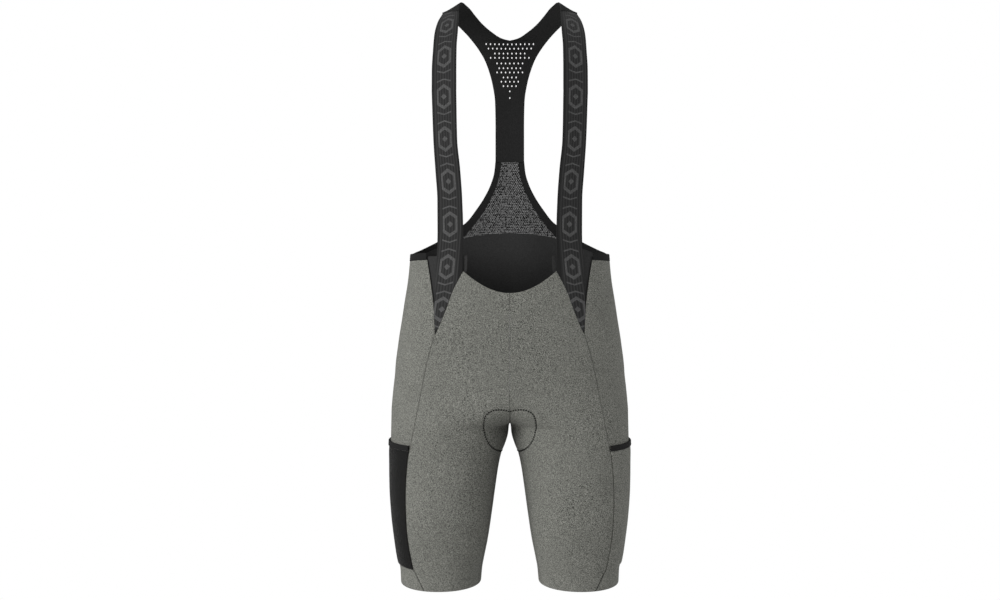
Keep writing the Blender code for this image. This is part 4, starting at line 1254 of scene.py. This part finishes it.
def smooth_normals(parts):
    """Outward directions of the points of several meshes that meet."""
    points = np.concatenate([p for p, _ in parts])
    _, same = np.unique(np.round(points, 6), axis=0, return_inverse=True)
    same = same.ravel()
    total = np.zeros((same.max() + 1, 3))
    start = 0
    for p, faces in parts:
        turned = np.cross(p[faces[:, 1]] - p[faces[:, 0]], p[faces[:, -1]] - p[faces[:, 0]])
        for k in range(faces.shape[1]):
            np.add.at(total, same[faces[:, k] + start], turned)
        start += len(p)
    total /= np.maximum(np.linalg.norm(total, axis=1, keepdims=True), 1e-12)
    result, start = [], 0
    for p, _ in parts:
        result.append(total[same[start:start + len(p)]])
        start += len(p)
    return result


def make_pad():
    """Foam pad under the inside of the crotch, with pressed channels."""
    grids = []
    for panel, rows, columns in ((front_panel_grid(0.0), PAD_FRONT_ROWS, PAD_FRONT_COLUMNS),
                                 (back_panel_grid(0.0), PAD_BACK_ROWS, PAD_BACK_COLUMNS)):
        first = len(END_ROWS) - 1 + DETAIL * rows[0]
        last = len(END_ROWS) - 1 + DETAIL * (rows[1] - 1)
        keep = [0] + list(range(len(END_COLUMNS), len(END_COLUMNS) + DETAIL * columns))
        grid = panel[first:last + 1][:, keep]
        out = normals(grid)
        out[np.abs(grid[..., 0]) < 1e-7, 0] = 0.0
        out = unit(out)
        row = np.arange(len(grid))[:, None]
        from_edge = np.minimum(np.minimum(row, row[::-1]) / (PAD_BEVEL_ROWS * DETAIL), 1)
        across = np.linspace(0, 1, grid.shape[1])[None]
        thick = PAD_EDGE + (PAD_MIDDLE - PAD_EDGE) * (1 - (1 - from_edge) ** 2) * (1 - across ** 4)
        channel = sum(np.exp(-((across - place) / spread) ** 2) for place, spread in PAD_CHANNELS)
        channel = PAD_CHANNEL_DEPTH * np.minimum(channel, 1) * np.clip(from_edge * 2, 0, 1)
        thick = thick - channel * (thick > THIN_PAD)
        crotch = TOP_ROWS + HIP_ROWS + CROTCH_ROWS - DETAIL * rows[0]
        near = np.clip(1 - np.abs(row - crotch) / (2.0 * DETAIL), 0, 1)
        depth = PAD_DEPTH + CROTCH_CLEARANCE * near * np.clip(1 - across * columns, 0, 1)
        lower = grid - out * depth[..., None]
        upper = lower - out * thick[..., None]
        weave = np.stack([arcs(grid, 1), arcs(grid, 0)], -1)
        grids.append(block(lower, upper, weave, turned=columns == PAD_BACK_COLUMNS))
    pad = make_piece("seat_padding", grids + [flipped(b) for b in grids], PAD_CLOTH, ["seat_pad"])


# Studio

def make_studio():
    scene = bpy.context.scene
    camera = bpy.data.cameras.new("camera")
    camera.sensor_fit = "HORIZONTAL"
    camera.sensor_width = 36.0
    camera.lens = 36.0
    camera.shift_x = (PHOTO_WIDTH / 2 - PHOTO_MIDDLE) / PHOTO_WIDTH
    holder = bpy.data.objects.new("camera", camera)
    holder.location = (0.0, -VIEW_DISTANCE, EYE_HEIGHT)
    holder.rotation_euler = (np.pi / 2, 0.0, 0.0)
    scene.collection.objects.link(holder)
    scene.camera = holder
    for name, place, turn, size, power in LIGHTS:
        light = bpy.data.lights.new(name, "AREA")
        light.size = size
        light.energy = power
        lamp = bpy.data.objects.new(name, light)
        lamp.location = place
        lamp.rotation_euler = turn
        scene.collection.objects.link(lamp)
    world = bpy.data.worlds.new("studio")
    scene.world = world
    world.use_nodes = True
    tree = world.node_tree
    backdrop = tree.nodes["Background"].inputs
    backdrop[0].default_value = (1, 1, 1, 1)
    seen = Signal(tree, tree.nodes.new("ShaderNodeLightPath").outputs["Is Camera Ray"])
    feed(tree, backdrop[1], ramp(seen, 0.0, 1.0, SKY_LIGHT, 1.0))
    scene.view_settings.view_transform = "Standard"
    rim = [(FLOOR_RADIUS * np.cos(t), FLOOR_RADIUS * np.sin(t), FLOOR_HEIGHT)
           for t in np.arange(FLOOR_SIDES) * 2 * np.pi / FLOOR_SIDES]
    mesh = bpy.data.meshes.new("floor")
    mesh.from_pydata(rim, [], [list(range(FLOOR_SIDES))])
    floor = bpy.data.objects.new("floor", mesh)
    material, tree, surface = shader("pale_floor", 0.7, 0.0)
    grain = noise(weave_places(tree)[2], 3.0)
    feed(tree, surface["Base Color"], mixed(grain, (0.78, 0.78, 0.77), (0.82, 0.82, 0.81)))
    mesh.materials.append(material)
    scene.collection.objects.link(floor)


make_studio()
make_shorts()
make_waist()
make_pockets()
make_braces()
make_upper_back()
make_pad()
